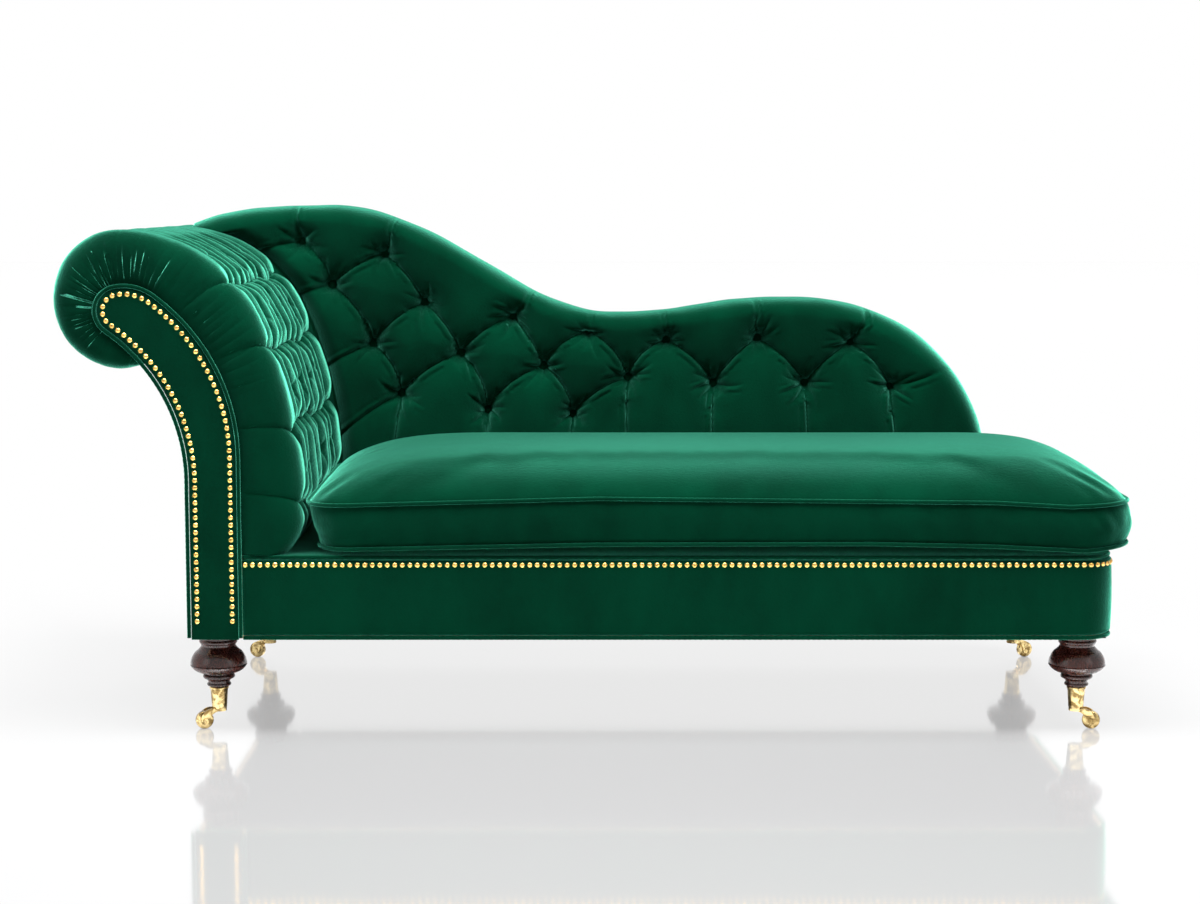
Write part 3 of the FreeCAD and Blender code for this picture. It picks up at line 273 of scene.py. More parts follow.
def hemmed(sheet, axis, level):
    """Draw a sheet's open edge out to a level along one axis, and close it there."""
    rim = bmesh.ops.extrude_edge_only(sheet, edges=open_edges(sheet))["geom"]
    for point in points_of(rim):
        point.co[axis] = level * MM
    filled(sheet)


def board(outline, side, back, edge, rounding):
    """A flat board across the depth, from its back to its edge, rounded off to its face in
    steps of a width and a lift."""
    panel = bmesh.new()
    corners = [panel.verts.new((x * MM, side * back * MM, z * MM)) for x, z in outline]
    raised = bmesh.ops.extrude_face_region(panel, geom=[panel.faces.new(corners)])["geom"]
    for point in points_of(raised):
        point.co.y = side * edge * MM
    tops = [item for item in raised if isinstance(item, bmesh.types.BMFace)]
    for width, lift in rounding:
        bmesh.ops.inset_region(panel, faces=tops, thickness=width * MM, depth=0)
        for point in tops[0].verts:
            point.co.y += side * lift * MM
    return panel


# Dust cover: black cambric stapled to the underside of the rails. It hangs a little between
# the rails and is drawn tight round the leg blocks.

cambric = woven("black_cambric", (0.022, 0.022, 0.024), (0.008, 0.008, 0.009), 420)
DUST_TOP = 164.6
DUST_SAG = 1.5
DUST_BAYS = 3
DUST_INSET = 14.0
DUST_THICKNESS = 0.8


def dust_cloth(u, v):
    x = HEAD + DUST_INSET + u * (FOOT - HEAD - 2 * DUST_INSET)
    y = FRONT + DUST_INSET + v * (REAR - FRONT - 2 * DUST_INSET)
    bays = np.abs(np.sin(u * DUST_BAYS * math.pi))
    sag = DUST_SAG * bays * np.sin(v * math.pi) ** 0.7
    return x, y, DUST_TOP - sag


dust_cover = made(cloth_grid(90, 44, dust_cloth), "dust_cover_cloth", cambric)
thick = dust_cover.modifiers.new("cloth", "SOLIDIFY")
thick.thickness = DUST_THICKNESS * MM
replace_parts(dust_cover, "dust_cover")

# Velvet: a short dense cotton pile in emerald green. It looks deep and dark straight on and
# turns pale mint where the pile is seen from the side, with marks where it has been brushed.

velvet_shine = {"Specular IOR Level": 0.0, "Sheen Weight": 1.0}
velvet_shine |= {"Sheen Roughness": 0.34, "Sheen Tint": (0.18, 1.0, 0.68)}
velvet = Finish("emerald_velvet", velvet_shine)
PILE_DEEP = (0.0002, 0.0105, 0.0045)
PILE_LIGHT = (0.0002, 0.0195, 0.0085)
brushed = velvet.noise(3.4, detail=4, distortion=0.5)
strokes = velvet.noise(22, (1, 1, 0.35), detail=3)
mottle = velvet.noise(240, detail=2)
marks = brushed * 0.55 + strokes * 0.3 + mottle * 0.15
velvet.colours(marks.above(0.32, 0.68), PILE_DEEP, PILE_LIGHT)
velvet.roughness(0.7 + mottle * 0.2)
pile = velvet.noise(1900, detail=1)
velvet.bumps(pile * 0.35 + mottle * 0.9 + strokes * 0.8, 0.0006)


def padded(sheet, name, replaced):
    """A padded piece of velvet that rides on the frame."""
    piece = made(sheet, name, velvet)
    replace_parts(piece, replaced)
    return piece


# Seat platform: the lining cloth and thin stuffing over the springs, tacked down along the
# top of the rails and covered in the same velvet where it shows round the cushion.

DECK_BOTTOM = 299.6
DECK_TOP = 305.8
DECK_INSET = 1.5
COVER_HEAD = -592.4
CORNER = 60.0


def rounded(i, j, radius):
    """Shares of the way into a square corner, bent so that the corner is round."""
    return radius * i * np.sqrt(1 - j * j / 2), radius * j * np.sqrt(1 - i * i / 2)


def rounded_end(x, y, foot, side, radius):
    """Square grid points pulled in so that both corners at the foot end are round."""
    i = unit((x - (foot - radius)) / radius)
    j = unit((np.abs(y) - (side - radius)) / radius)
    in_x, in_y = rounded(i, j, radius)
    corner = (i > 0) & (j > 0)
    bent_y = np.copysign(side - radius + in_y, y)
    return np.where(corner, foot - radius + in_x, x), np.where(corner, bent_y, y)


def platform(u, v):
    foot, side = FOOT - DECK_INSET, REAR - DECK_INSET
    x, y = COVER_HEAD + u * (foot - COVER_HEAD), (v * 2 - 1) * side
    x, y = rounded_end(x, y, foot, side, CORNER)
    return x, y, np.full_like(x, DECK_TOP)


deck = cloth_grid(96, 48, platform)
hemmed(deck, 2, DECK_BOTTOM)
seat_platform = padded(deck, "seat_platform_cloth", "seat_platform")
rim_bevel = seat_platform.modifiers.new("rolled_edge", "BEVEL")
rim_bevel.width = 2.5 * MM
rim_bevel.segments = 3

# Base band: velvet drawn over a thin felt round the seat rails and tacked under them, with
# the nailed line near its top. It is full between the nails and the cord below.

BAND_BOTTOM = 170.6
BAND_TOP = 299.2
BAND_FULLNESS = 2.2
BAND_OUTSIDE = 0.8
BAND_EDGE = 2.5
NAIL_LINE = 290.0
BAND_BACK = 5.7


def plan_path(distance, inset):
    """Points along the base's plan, from the head end of the front round to the rear."""
    straight = FOOT - CORNER - COVER_HEAD
    quarter = CORNER * math.pi / 2
    across = REAR - FRONT - 2 * CORNER
    stops = np.cumsum([0, straight, quarter, across, quarter, straight])
    angle = np.interp(distance, stops, np.radians([-90, -90, 0, 0, 90, 90]))
    x = np.interp(distance, stops, [COVER_HEAD] + [FOOT - CORNER] * 4 + [COVER_HEAD])
    y = np.interp(distance, stops, [FRONT + CORNER] * 3 + [REAR - CORNER] * 3)
    reach = CORNER - inset
    return x + reach * np.cos(angle), y + reach * np.sin(angle)


PLAN_LENGTH = 2 * (FOOT - CORNER - COVER_HEAD) + CORNER * math.pi + (REAR - FRONT - 2 * CORNER)


def waves(x, y, scale, seed):
    """A gentle uneven ripple, from -1 to 1, as hand-stuffed cloth has."""
    random = np.random.default_rng(seed)
    total = 0
    for octave in (1, 1.7, 2.9):
        heading = random.uniform(0, 2 * math.pi)
        shift = random.uniform(0, 2 * math.pi)
        way = x * math.cos(heading) + y * math.sin(heading)
        total = total + np.sin(way * 2 * math.pi * octave / scale + shift) / octave
    return total / 1.9


def band(u, v):
    """The outside of the band up to its top edge, then its inside down again."""
    z = BAND_BOTTOM + unit(v / BAND_OUTSIDE) * (BAND_TOP - BAND_BOTTOM)
    turned = v > BAND_OUTSIDE
    down = (v - BAND_OUTSIDE) / (1 - BAND_OUTSIDE)
    z = np.where(turned, BAND_TOP - down * (BAND_TOP - BAND_BOTTOM), z)
    full = np.sin(unit((z - BAND_BOTTOM) / (NAIL_LINE - BAND_BOTTOM)) * math.pi) ** 0.6
    lift = BAND_FULLNESS * full * (1 + 0.25 * waves(u * PLAN_LENGTH, z, 260, 3))
    edge = unit(np.minimum(z - BAND_BOTTOM, BAND_TOP - z) / (2 * BAND_EDGE))
    rounding = BAND_EDGE * (1 - np.sqrt(1 - (1 - edge) ** 2))
    inset = np.where(turned, BAND_BACK, rounding - lift)
    return *plan_path(u * PLAN_LENGTH, inset), z


band_mesh = cloth_grid(420, 40, band)
bmesh.ops.remove_doubles(band_mesh, verts=band_mesh.verts, dist=0.7 * MM)
filled(band_mesh)
padded(band_mesh, "base_band", "base_cover")

# Piping: velvet cut on the bias and sewn round a cotton cord. The cloth puckers a little at
# every stitch. It runs round the bottom of the base, both facings and both cushion seams.

CORD_RADIUS = 3.5
CORD_STEP = 4.5
STITCH = 9.0
PUCKER = 0.05


def piping(name, path, closed, replaced, body="frame"):
    """A round cord along a path of points, finely puckered, made a mesh."""
    path = np.array(path)
    if closed:
        path = np.vstack([path, path[:1]])
    run = measured(path)
    count = int(run[-1] / CORD_STEP)
    stops = np.linspace(0, run[-1], count, endpoint=not closed)
    places = np.stack([np.interp(stops, run, path[:, axis]) for axis in range(3)], axis=-1)
    curve = bpy.data.curves.new(name, "CURVE")
    curve.dimensions = "3D"
    curve.bevel_depth = CORD_RADIUS * MM
    curve.bevel_resolution = 3
    curve.use_fill_caps = True
    spline = curve.splines.new("POLY")
    spline.points.add(count - 1)
    for point, place, stop in zip(spline.points, places, stops):
        point.co = (*(place * MM), 1)
        point.radius = 0.98 + PUCKER * math.sin(stop * 2 * math.pi / STITCH)
    spline.use_cyclic_u = closed
    cord = bpy.data.objects.new(name, curve)
    scene.collection.objects.link(cord)
    bpy.context.view_layer.update()
    mesh = bpy.data.meshes.new_from_object(cord)
    bpy.data.objects.remove(cord)
    shell = bmesh.new()
    shell.from_mesh(mesh)
    bpy.data.meshes.remove(mesh)
    bmesh.ops.remove_doubles(shell, verts=shell.verts, dist=0.02 * MM)
    filled(shell)
    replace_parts(made(shell, name, velvet, body), replaced)


BASE_CORD_HEIGHT = 166.5
BASE_CORD_INSET = 2.2
x, y = plan_path(np.linspace(0, PLAN_LENGTH, 400), BASE_CORD_INSET)
base_path = np.stack([x, y, np.full_like(x, BASE_CORD_HEIGHT)], axis=-1)
piping("base_cord", base_path, False, "base_piping")

# Brass nails: close-set domed heads, spun from sheet and polished, each faintly hammered
# where it was driven. They follow the base band and both facings.

brass = Finish("polished_brass", {"Metallic": 1.0, "Coat Weight": 0.15, "Coat Roughness": 0.12})
tarnish = brass.noise(140, detail=3)
brass.colours(tarnish.above(0.4, 0.75), (0.66, 0.40, 0.11), (0.34, 0.19, 0.04))
brass.roughness(0.14 + tarnish * 0.16)
brass.bumps(brass.noise(420, detail=1), 0.0005, 0.5)
finished(["base_nails", "facing_nails_front", "facing_nails_rear"], brass)

# Head end padding: hair and felt built up over the boards and hessian, covered in one piece
# of velvet. It is buttoned in diamonds on the sitting side, folded in gathers round the
# scroll, and tucked under both facings.

# Arcs up the padding's section: toe, slope, top and scroll. Centre, radius, first and last angle.
PAD_ARCS = [
    ((-590.0, 376.3), 95.0, -0.828, 0),
    ((-1235.0, 384.0), 740.0, 0, 0.4341),
    ((-796.8, 587.16), 257.0, 0.4341, 1.5239),
    ((-790.0, 732.0), 112.0, 1.5239, 5.118),
]
# Arcs round the facing: inner sweep, top, scroll and outer sweep, and which way an inset goes.
FACING_ARCS = [
    ((-932.0, 470.0), 332.0, 0, 0.93, -1),
    ((-780.76, 672.82), 79.0, 0.93, 1.768, -1),
    ((-789.0, 714.0), 37.0, 1.768, 4.102, -1),
    ((-986.0, 432.0), 307.0, 0.961, 0, 1),
]
PAD_BOTTOM = 306.3


def arc(centre, radius, start, end):
    """Closely spaced points along an arc."""
    angle = np.linspace(start, end, max(3, int(abs(end - start) * radius / 2)))
    x, z = centre[0] + radius * np.cos(angle), centre[1] + radius * np.sin(angle)
    return np.stack([x, z], axis=-1)


def facing_line(inset, bottom):
    """The facing's outline from the foot of its inner edge, over the scroll, to its outer foot."""
    arcs = [arc(middle, size + inset * way, *ends) for middle, size, *ends, way in FACING_ARCS]
    line = np.vstack([[[arcs[0][0, 0], bottom]], *arcs, [[arcs[-1][-1, 0], bottom]]])
    apart = np.linalg.norm(np.diff(line, axis=0), axis=1) > 0.8
    return line[np.concatenate([[True], apart])]


pad_line = np.vstack([arc(*row)[min(number, 1):] for number, row in enumerate(PAD_ARCS)])
pad_run = measured(pad_line)
edge_line = facing_line(0, 300.0)
PAD_LENGTH = pad_run[-1]


def nearest(points, line):
    """The nearest place on a line of points to each of some points."""
    starts, steps = line[:-1], np.diff(line, axis=0)
    squares = (steps ** 2).sum(axis=1)
    best = np.full(len(points), np.inf)
    found = np.zeros_like(points)
    for start, step, square in zip(starts, steps, squares):
        share = unit(((points - start) @ step) / square)
        place = start + share[:, None] * step
        gap = ((points - place) ** 2).sum(axis=1)
        nearer = gap < best
        best = np.where(nearer, gap, best)
        found[nearer] = place[nearer]
    return found


def pleat(start, end, full=(1.0, 1.0), crease=(1.0, 1.0), waist=(0.4, 0.35), bow=0.0):
    """A fold from one place to another: four runs of a bowed line, with how deep the stuffing
    and the crease are drawn in at each end, and how much less they are half way."""
    (x0, z0), (x1, z1) = start, end
    length = math.hypot(x1 - x0, z1 - z0)
    points = []
    for share in (0, 0.25, 0.5, 0.75, 1):
        swell = 4 * share * (1 - share)
        points.append((
            x0 + (x1 - x0) * share - (z1 - z0) / length * bow * swell,
            z0 + (z1 - z0) * share + (x1 - x0) / length * bow * swell,
            full[0] + (full[1] - full[0]) * share - waist[0] * swell * max(full),
            crease[0] + (crease[1] - crease[0]) * share - waist[1] * swell * max(crease),
        ))
    return list(zip(points, points[1:]))


def star(place, random, longest=58.0):
    """Small gathers that run out of a button in every direction."""
    folds = []
    count = random.integers(10, 14)
    for k in range(count):
        angle = 2 * math.pi * (k + random.uniform(-0.35, 0.35)) / count
        length = random.uniform(0.4, 1.0) * longest
        end = (place[0] + length * math.cos(angle), place[1] + length * math.sin(angle))
        strength = random.uniform(0.9, 1.6)
        folds += pleat(place, end, (0, 0), (strength, 0), (0, 0), random.uniform(-5, 5))
    return folds


SNAP = 8.0
SHARP = 4.0
CREASE_WIDTH = 3.4
LIP = (6.5, 3.2)
LIP_HOLLOW = (12.5, 3.0)


def folded(across, up, folds, reach):
    """What the folds do at each point: how full the stuffing is drawn in, how deep the crease
    is, how high the lip beside it stands, and how far the cloth slides towards the crease."""
    shape = across.shape
    across, up = across.ravel(), up.ravel()
    drawn = np.zeros_like(across)
    best = np.full_like(across, 1e6)
    deep, side = np.zeros_like(across), np.zeros_like(across)
    slide = np.zeros((2, len(across)))
    for (x0, z0, full0, crease0), (x1, z1, full1, crease1) in folds:
        near = (across > min(x0, x1) - reach) & (across < max(x0, x1) + reach)
        near &= (up > min(z0, z1) - reach) & (up < max(z0, z1) + reach)
        near = np.nonzero(near)[0]
        step_x, step_z = x1 - x0, z1 - z0
        off_x, off_z = across[near] - x0, up[near] - z0
        length = math.hypot(step_x, step_z)
        share = unit((off_x * step_x + off_z * step_z) / length ** 2)
        gap_x, gap_z = share * step_x - off_x, share * step_z - off_z
        gap = np.hypot(gap_x, gap_z)
        fold = 1 - unit(gap / reach)
        valley = 0.5 * fold ** 2 + 0.5 * (1 - np.sqrt(1 - fold ** 2))
        drawn[near] += (np.clip(full0 + (full1 - full0) * share, 0, None) * valley) ** SHARP
        nearer = gap < best[near]
        spot = near[nearer]
        best[spot] = gap[nearer]
        deep[spot] = np.clip(crease0 + (crease1 - crease0) * share, 0, None)[nearer]
        side[spot] = ((off_x * step_z - off_z * step_x) / length)[nearer]
        slide[:, spot] = np.stack([gap_x, gap_z])[:, nearer]
    pull = unit(1 - best / SNAP) * (deep > 0.02)
    best = best * (1 - pull)
    crease = deep * np.exp(-(best / CREASE_WIDTH) ** 1.2)
    beside = side * (1 - pull)
    rise, fall = (np.exp(-((beside - far) / width) ** 2) for far, width in (LIP, LIP_HOLLOW))
    lip = deep * (rise - 0.6 * fall)
    parts = (drawn ** (1 / SHARP), crease, lip, slide[0] * pull, slide[1] * pull)
    return [part.reshape(shape) for part in parts]


PIT_WIDTH = 9.5


def dimples(across, up, places, width):
    """The hollow that each button draws in the stuffing, and the pit that it sits in."""
    hollow = np.zeros_like(across)
    pit = np.zeros_like(across)
    for x0, z0 in places:
        far = np.hypot(across - x0, up - z0)
        hollow += np.exp(-(far / width))
        pit = np.maximum(pit, np.exp(-(far / PIT_WIDTH) ** 2.6))
    return unit(hollow), pit


def tufted(across, up, folds, places, style):
    """How deep the cloth lies at each point, and how far it slides towards a crease."""
    drawn, crease, lip, slide_across, slide_up = folded(across, up, folds, style["reach"])
    hollow, pit = dimples(across, up, places, style["mouth"])
    depth = style["drawn"] * drawn + style["crease"] * crease - style["lip"] * lip
    depth += style["hollow"] * hollow + style["pit"] * pit - style["full"]
    return np.minimum(depth, style["deepest"]), slide_across, slide_up


ARM_TUFTING = {"reach": 40.0, "mouth": 20.0, "drawn": 31.0, "crease": 4.5, "lip": 0.4}
ARM_TUFTING |= {"hollow": 5.0, "pit": 3.0, "full": 3.5, "deepest": 37.0}
ARM_FIRST = 148.5
ARM_PITCH = 67.5
ARM_STEP = 116.0
ARM_CREST = -335.0
ARM_EDGE = -430.0
ARM_REAR = 245.0
GATHERS_FROM = 318.0
arm_rows = []
for row in range(7):
    full = row % 2 == 1
    first = ARM_CREST + ARM_STEP * (0.5 if full else 1)
    height = ARM_FIRST + ARM_PITCH * row
    arm_rows.append([(first + ARM_STEP * k, height) for k in range(5 if full else 4)])
arm_buttons = [place for row in arm_rows for place in row]

random = np.random.default_rng(12)
arm_folds = []
columns = sorted({y0 for row in arm_rows[:2] for y0, _ in row})
bands = [ARM_FIRST - ARM_PITCH] + [row[0][1] for row in arm_rows[1::2]]
joints = []
for s0 in bands:
    joints.append([(y0 + random.uniform(-7, 7), s0 + random.uniform(-9, 9)) for y0 in columns])
joints.insert(0, [(y0 + random.uniform(-4, 4), 0.0) for y0 in columns])
for further in (128, 300):
    joints.append([(y0 + random.uniform(-4, 4), bands[-1] + further) for y0 in columns])
for number, (lower, upper) in enumerate(zip(joints, joints[1:])):
    tail = 0.25 if number == len(joints) - 2 else 1.0
    for place, other in zip(lower, upper):
        arch = random.uniform(-13, 13)
        strong = random.uniform(0.62, 1.12) * tail
        fine = (strong, strong * 0.5)
        arm_folds += pleat(place, other, (strong, strong), fine, (0.3, 0.25), arch)
for places in joints[1:-2]:
    for place, other in zip(places, places[1:]):
        arch = random.uniform(-5, 5)
        arm_folds += pleat(place, other, (0.6, 0.6), (0.35, 0.35), (0.2, 0.3), arch)
    (y0, s0), (y1, s1) = places[0], places[-1]
    crest, edge = (ARM_CREST - 6, s0 + 4), (ARM_EDGE, s0 + 24)
    arm_folds += pleat((y0, s0), crest, (0.7, 0.18), (0.9, 0.9), (0, 0))
    arm_folds += pleat(crest, edge, (0.18, 0), (0.9, 0.5), (0, 0), -4)
    arm_folds += pleat((y1, s1), (ARM_REAR + 20, s1), (0.6, 0.5), (0.6, 0.6), (0.2, 0.2))
place = GATHERS_FROM
while place < PAD_LENGTH - 14:
    length, drift = random.uniform(60, 150), random.uniform(-12, 12)
    strength = random.uniform(0.2, 0.5)
    start, end = (ARM_EDGE, place), (ARM_EDGE + length, place + drift)
    arm_folds += pleat(start, end, (0, 0), (strength, 0), (0, 0), random.uniform(-3, 3))
    place += random.uniform(9, 19)
for place in arm_buttons:
    arm_folds += star(place, random, 40.0)

BORDER = 0.16
END = 0.90
BORDER_FRONT = -362.0
BORDER_REAR = -328.0
BORDER_FLAT = 100.0
BORDER_SWELL = 8.0
ROLL_FROM = -772.0
ROLL_BLEND = 16.0
ROLL_REAR = 330.0
REAR_ROUNDING = 6.0
REAR_TUCK = 22.0


def arm_surface(u, v):
    """The undimpled padding: u along its section, v from the front facing to the rear one."""
    x, z = along(u * PAD_LENGTH, pad_run, pad_line)
    first = np.stack([x[0], z[0]], axis=-1)
    edge = nearest(first, edge_line)
    edge_x, edge_z = edge[:, 0][None, :], edge[:, 1][None, :]
    reach = np.hypot(first[:, 0] - edge[:, 0], first[:, 1] - edge[:, 1])[None, :]
    thin = np.clip(reach / 60, 0.15, 1)

    rolled = unit((ROLL_FROM - x) / ROLL_BLEND)
    rolled = rolled * rolled * (3 - 2 * rolled)
    crest_rear = ARM_REAR - REAR_ROUNDING
    crest_rear = crest_rear + rolled * (ROLL_REAR - crest_rear)

    turn = unit(v / BORDER) * math.pi / 2
    out = np.sin(turn) ** 0.82
    swell = BORDER_SWELL * np.sin(np.clip(turn * 2, 0, math.pi)) * thin
    y_front = BORDER_FRONT - swell + (BORDER_REAR - BORDER_FRONT) * (1 - np.cos(turn)) ** 1.15
    share = unit((v - BORDER) / (END - BORDER))
    y_middle = BORDER_REAR + share * (crest_rear - BORDER_REAR)
    back_turn = unit((v - END) / (1 - END)) * math.pi / 2
    out_rear = np.cos(back_turn) ** 0.82
    y_rear = crest_rear + (8 + rolled * 24) * np.sin(back_turn)
    tucked = 1 - REAR_TUCK * (1 - np.cos(back_turn)) / np.maximum(reach, 40)

    front = v < BORDER
    rear = v > END
    amount = np.where(front, out, 1.0)
    amount = np.where(rear, rolled * out_rear + (1 - rolled) * tucked, amount)
    px = edge_x + (x - edge_x) * amount
    pz = edge_z + (z - edge_z) * amount
    return px, np.where(front, y_front, np.where(rear, y_rear, y_middle)), pz


def outwards(x, y, z):
    """Unit normals of a grid of points, as three arrays."""
    points = np.stack([x, y, z], axis=-1)
    across = np.gradient(points, axis=1)
    up = np.gradient(points, axis=0)
    normal = np.moveaxis(np.cross(across, up), -1, 0)
    return normal / np.maximum(np.linalg.norm(normal, axis=0), 1e-9)


def arm_cloth(u, v):
    x, y, z = arm_surface(u, v)
    normal = outwards(x, y, z)
    s = u * PAD_LENGTH
    border = unit((BORDER - v) / BORDER)
    t = np.where(v < BORDER, BORDER_REAR - border * BORDER_FLAT, y)
    depth, slide_t, slide_s = tufted(t, s, arm_folds, arm_buttons, ARM_TUFTING)
    depth += 1.1 * waves(s, t, 150, 8)
    ends = unit(v / 0.02) * unit((1 - v) / 0.02)
    feet = unit((PAD_LENGTH - s) / 50)
    depth = depth * ends * feet
    y = y + slide_t * (v > BORDER) * (v < END)
    run_x, run_z = np.gradient(x, axis=1), np.gradient(z, axis=1)
    step = np.maximum(np.hypot(run_x, run_z), 1e-6)
    x = x + run_x / step * slide_s * ends
    z = z + run_z / step * slide_s * ends
    return np.stack([x, y, z]) + normal * depth


def closed_roll(sheet, columns, rows):
    """Close a sheet that wraps a core: bridge its two long edges, then fill both ends."""
    sheet.verts.ensure_lookup_table()
    edges = []
    for base in (0, rows * (columns + 1)):
        row = [sheet.verts[base + k] for k in range(columns + 1)]
        edges += [sheet.edges.get(pair) for pair in zip(row, row[1:])]
    bmesh.ops.bridge_loops(sheet, edges=edges)
    filled(sheet)


ARM_GRID = (370, 215)
arm_mesh = cloth_grid(*ARM_GRID, arm_cloth)
closed_roll(arm_mesh, *ARM_GRID)
padded(arm_mesh, "arm_padding", "arm_pad")

BUTTON_RADIUS = 11.0
BUTTON_DOME = 4.2
BUTTON_BACK = 2.4
BUTTON_DEPTH = 38.0


def covered_buttons(name, places, replaced):
    """Domed buttons covered in the same velvet, from places and directions."""
    batch = bmesh.new()
    for place, direction in places:
        turn = Vector((0, 0, 1)).rotation_difference(Vector(direction)).to_matrix().to_4x4()
        grown = bmesh.ops.create_uvsphere(batch, u_segments=20, v_segments=10, radius=1)["verts"]
        for point in grown:
            lift = BUTTON_DOME if point.co.z > 0 else BUTTON_BACK
            point.co *= Vector((BUTTON_RADIUS, BUTTON_RADIUS, lift)) * MM
        bmesh.ops.transform(batch, matrix=turn, verts=grown)
        bmesh.ops.translate(batch, vec=Vector(place) * MM, verts=grown)
    padded(batch, name, replaced)


arm_places = []
for t, s in arm_buttons:
    x, z = along(s, pad_run, pad_line)
    ahead_x, ahead_z = along(s + 1, pad_run, pad_line)
    out = Vector((ahead_z - z, 0, x - ahead_x)).normalized()
    arm_places.append((Vector((x, t, z)) - out * BUTTON_DEPTH, out))
covered_buttons("arm_covered_buttons", arm_places, "arm_buttons")

# Facings: shaped boards padded with felt and covered, nailed over the ends of the padding at
# the front and rear of the scroll, each with a cord round its edge.

FACING_FOOT = 163.5
FACING_BACK = 364.2
FACING_EDGE = 369.6
FACING_ROUNDING = ((1.2, 1.2), (1.6, 0.8), (2.4, 0.5), (3.0, 0.1))
FACING_CORD = 370.8
FACING_CORD_FOOT = 167.0
FACING_CORD_OUT = 3.7


def facing(name, side, replaced):
    outline = facing_line(0.0, FACING_FOOT)
    panel = board(outline, side, FACING_BACK, FACING_EDGE, FACING_ROUNDING)
    padded(panel, name, replaced)
    line = facing_line(-FACING_CORD_OUT, FACING_CORD_FOOT)
    cord = [(px, side * FACING_CORD, pz) for px, pz in line]
    piping(f"{name}_cord", cord, False, replaced.replace("arm_facing", "facing_piping"))


facing("facing_front", -1, "arm_facing_front")
facing("facing_rear", 1, "arm_facing_rear")

# Outside of the head end: one plain panel of velvet under the scroll, back-tacked beneath the
# roll and drawn down over the end of the base.

PANEL_SIDE = 363.5
PANEL_TOP = (-745, 629)
PANEL_FULLNESS = 2.5
PANEL_THICKNESS = 5
outside_line = facing_line(0.0, 170.0)
outside_line = outside_line[outside_line[:, 0] < HEAD + 0.5]
start = int(np.argmin(np.hypot(*(outside_line - PANEL_TOP).T)))
outside_line = outside_line[start:]
outside_run = measured(outside_line)


def outside_cloth(u, v):
    """The panel's outside from its top down, then its inside up again."""
    y = (2 * u - 1) * PANEL_SIDE
    under = v > 0.5
    share = np.where(under, 1 - v, v) * 2
    s = share * outside_run[-1]
    x, z = along(s, outside_run, outside_line)
    full = np.sin(u * math.pi) ** 0.4 * np.sin(unit(share) * math.pi) ** 0.5
    lift = PANEL_FULLNESS * full * (1 + 0.3 * waves(y, z, 300, 21))
    return np.where(under, x + PANEL_THICKNESS * unit(s / 8), x - lift), y, z


outside_mesh = cloth_grid(80, 120, outside_cloth)
bmesh.ops.remove_doubles(outside_mesh, verts=outside_mesh.verts, dist=0.05 * MM)
filled(outside_mesh)
padded(outside_mesh, "arm_outside_cloth", "arm_outside_panel")

# Back padding: the serpentine back is stuffed over webbing and deep buttoned. The velvet is
# folded into a pleat along every line between buttons, rolled over the top rail and tacked
# behind it.

BACK_FRONT = 240.0
BACK_REAR = 303.0
BACK_EDGE = 331.5
BACK_ROLL = 38.0
BACK_ROLL_BEHIND = 30.0
BACK_ROLL_CLOTH = 170.0
BACK_FLAT = 0.8
BACK_FOOT = (-600, 1300)
BACK_BUTTON_DEPTH = 41.0
CORNER_TUCK = 26.0
CORNER_REACH = 34.0
BACK_TUFTING = {"reach": 66.0, "mouth": 25.0, "drawn": 21.0, "crease": 7.5, "lip": 5.0}
BACK_TUFTING |= {"hollow": 15.0, "pit": 6.0, "full": 3.0, "deepest": 41.0}
top_controls = [
    ((-775, 850), (-700.5, 881), (-615.4, 884), (-509, 884)),
    ((-509, 884), (-304.9, 884), (-149.2, 679), (28, 679)),
    ((28, 679), (199, 679), (199, 708), (370, 708)),
    ((370, 708), (526.8, 708), (762, 634.2), (762, 298)),
]
top_line = []
for controls in top_controls:
    t = np.linspace(0, 1, 120)[:, None]
    weights = ((1 - t) ** 3, 3 * t * (1 - t) ** 2, 3 * t * t * (1 - t), t ** 3)
    top_line.append(sum(np.array(place) * share for place, share in zip(controls, weights)))
top_line = np.vstack(top_line)
top_line = top_line[top_line[:, 1] > PAD_BOTTOM - 2]
top_run = measured(top_line)

back_buttons = [
    (-567, 817), (-408, 793), (-510, 734), (-333, 701), (-432, 621), (-162, 673), (-263, 603),
    (-378, 526), (-104, 578), (-212, 493), (-17, 645), (-48, 485), (59, 556), (132, 628),
    (224, 545), (308, 632), (400, 545), (488, 624), (565, 539),
]
chains = [
    (1, 3, 5, 8), (2, 4, 7, 10), (6, 9, 12), (11, 13), (14, 15), (16, 17), (18, 19),
    (3, 2), (5, 4), (8, 7, 6), (10, 9, 11), (12, 13, 14), (15, 16), (17, 18),
]
random = np.random.default_rng(7)
back_folds = []
for run in chains:
    for first, second in zip(run, run[1:]):
        arch = random.uniform(6, 15)
        back_folds += pleat(back_buttons[first - 1], back_buttons[second - 1], bow=arch)
for number, lean in ((1, -10), (2, 12), (6, 26), (11, 4), (14, -4), (16, 0), (18, 30)):
    x0, z0 = back_buttons[number - 1]
    height = np.interp(x0 + lean, top_line[:, 0], top_line[:, 1])
    edge = (x0 + lean, height - 20)
    back_folds += pleat((x0, z0), edge, (0.8, 0.12), (1.2, 0.9), (0, 0), random.uniform(-5, 5))
    back_folds += pleat(edge, (x0 + lean * 1.4, height + 40), (0.12, 0), (0.9, 0), (0, 0))
for number, lean in ((8, -24), (10, -4), (12, 0), (13, 8), (15, 2), (17, 4), (19, 26)):
    x0, z0 = back_buttons[number - 1]
    arch = random.uniform(-7, 7)
    back_folds += pleat((x0, z0), (x0 + lean, 350), (1, 0.3), (1, 0.6), (0.2, 0.2), arch)
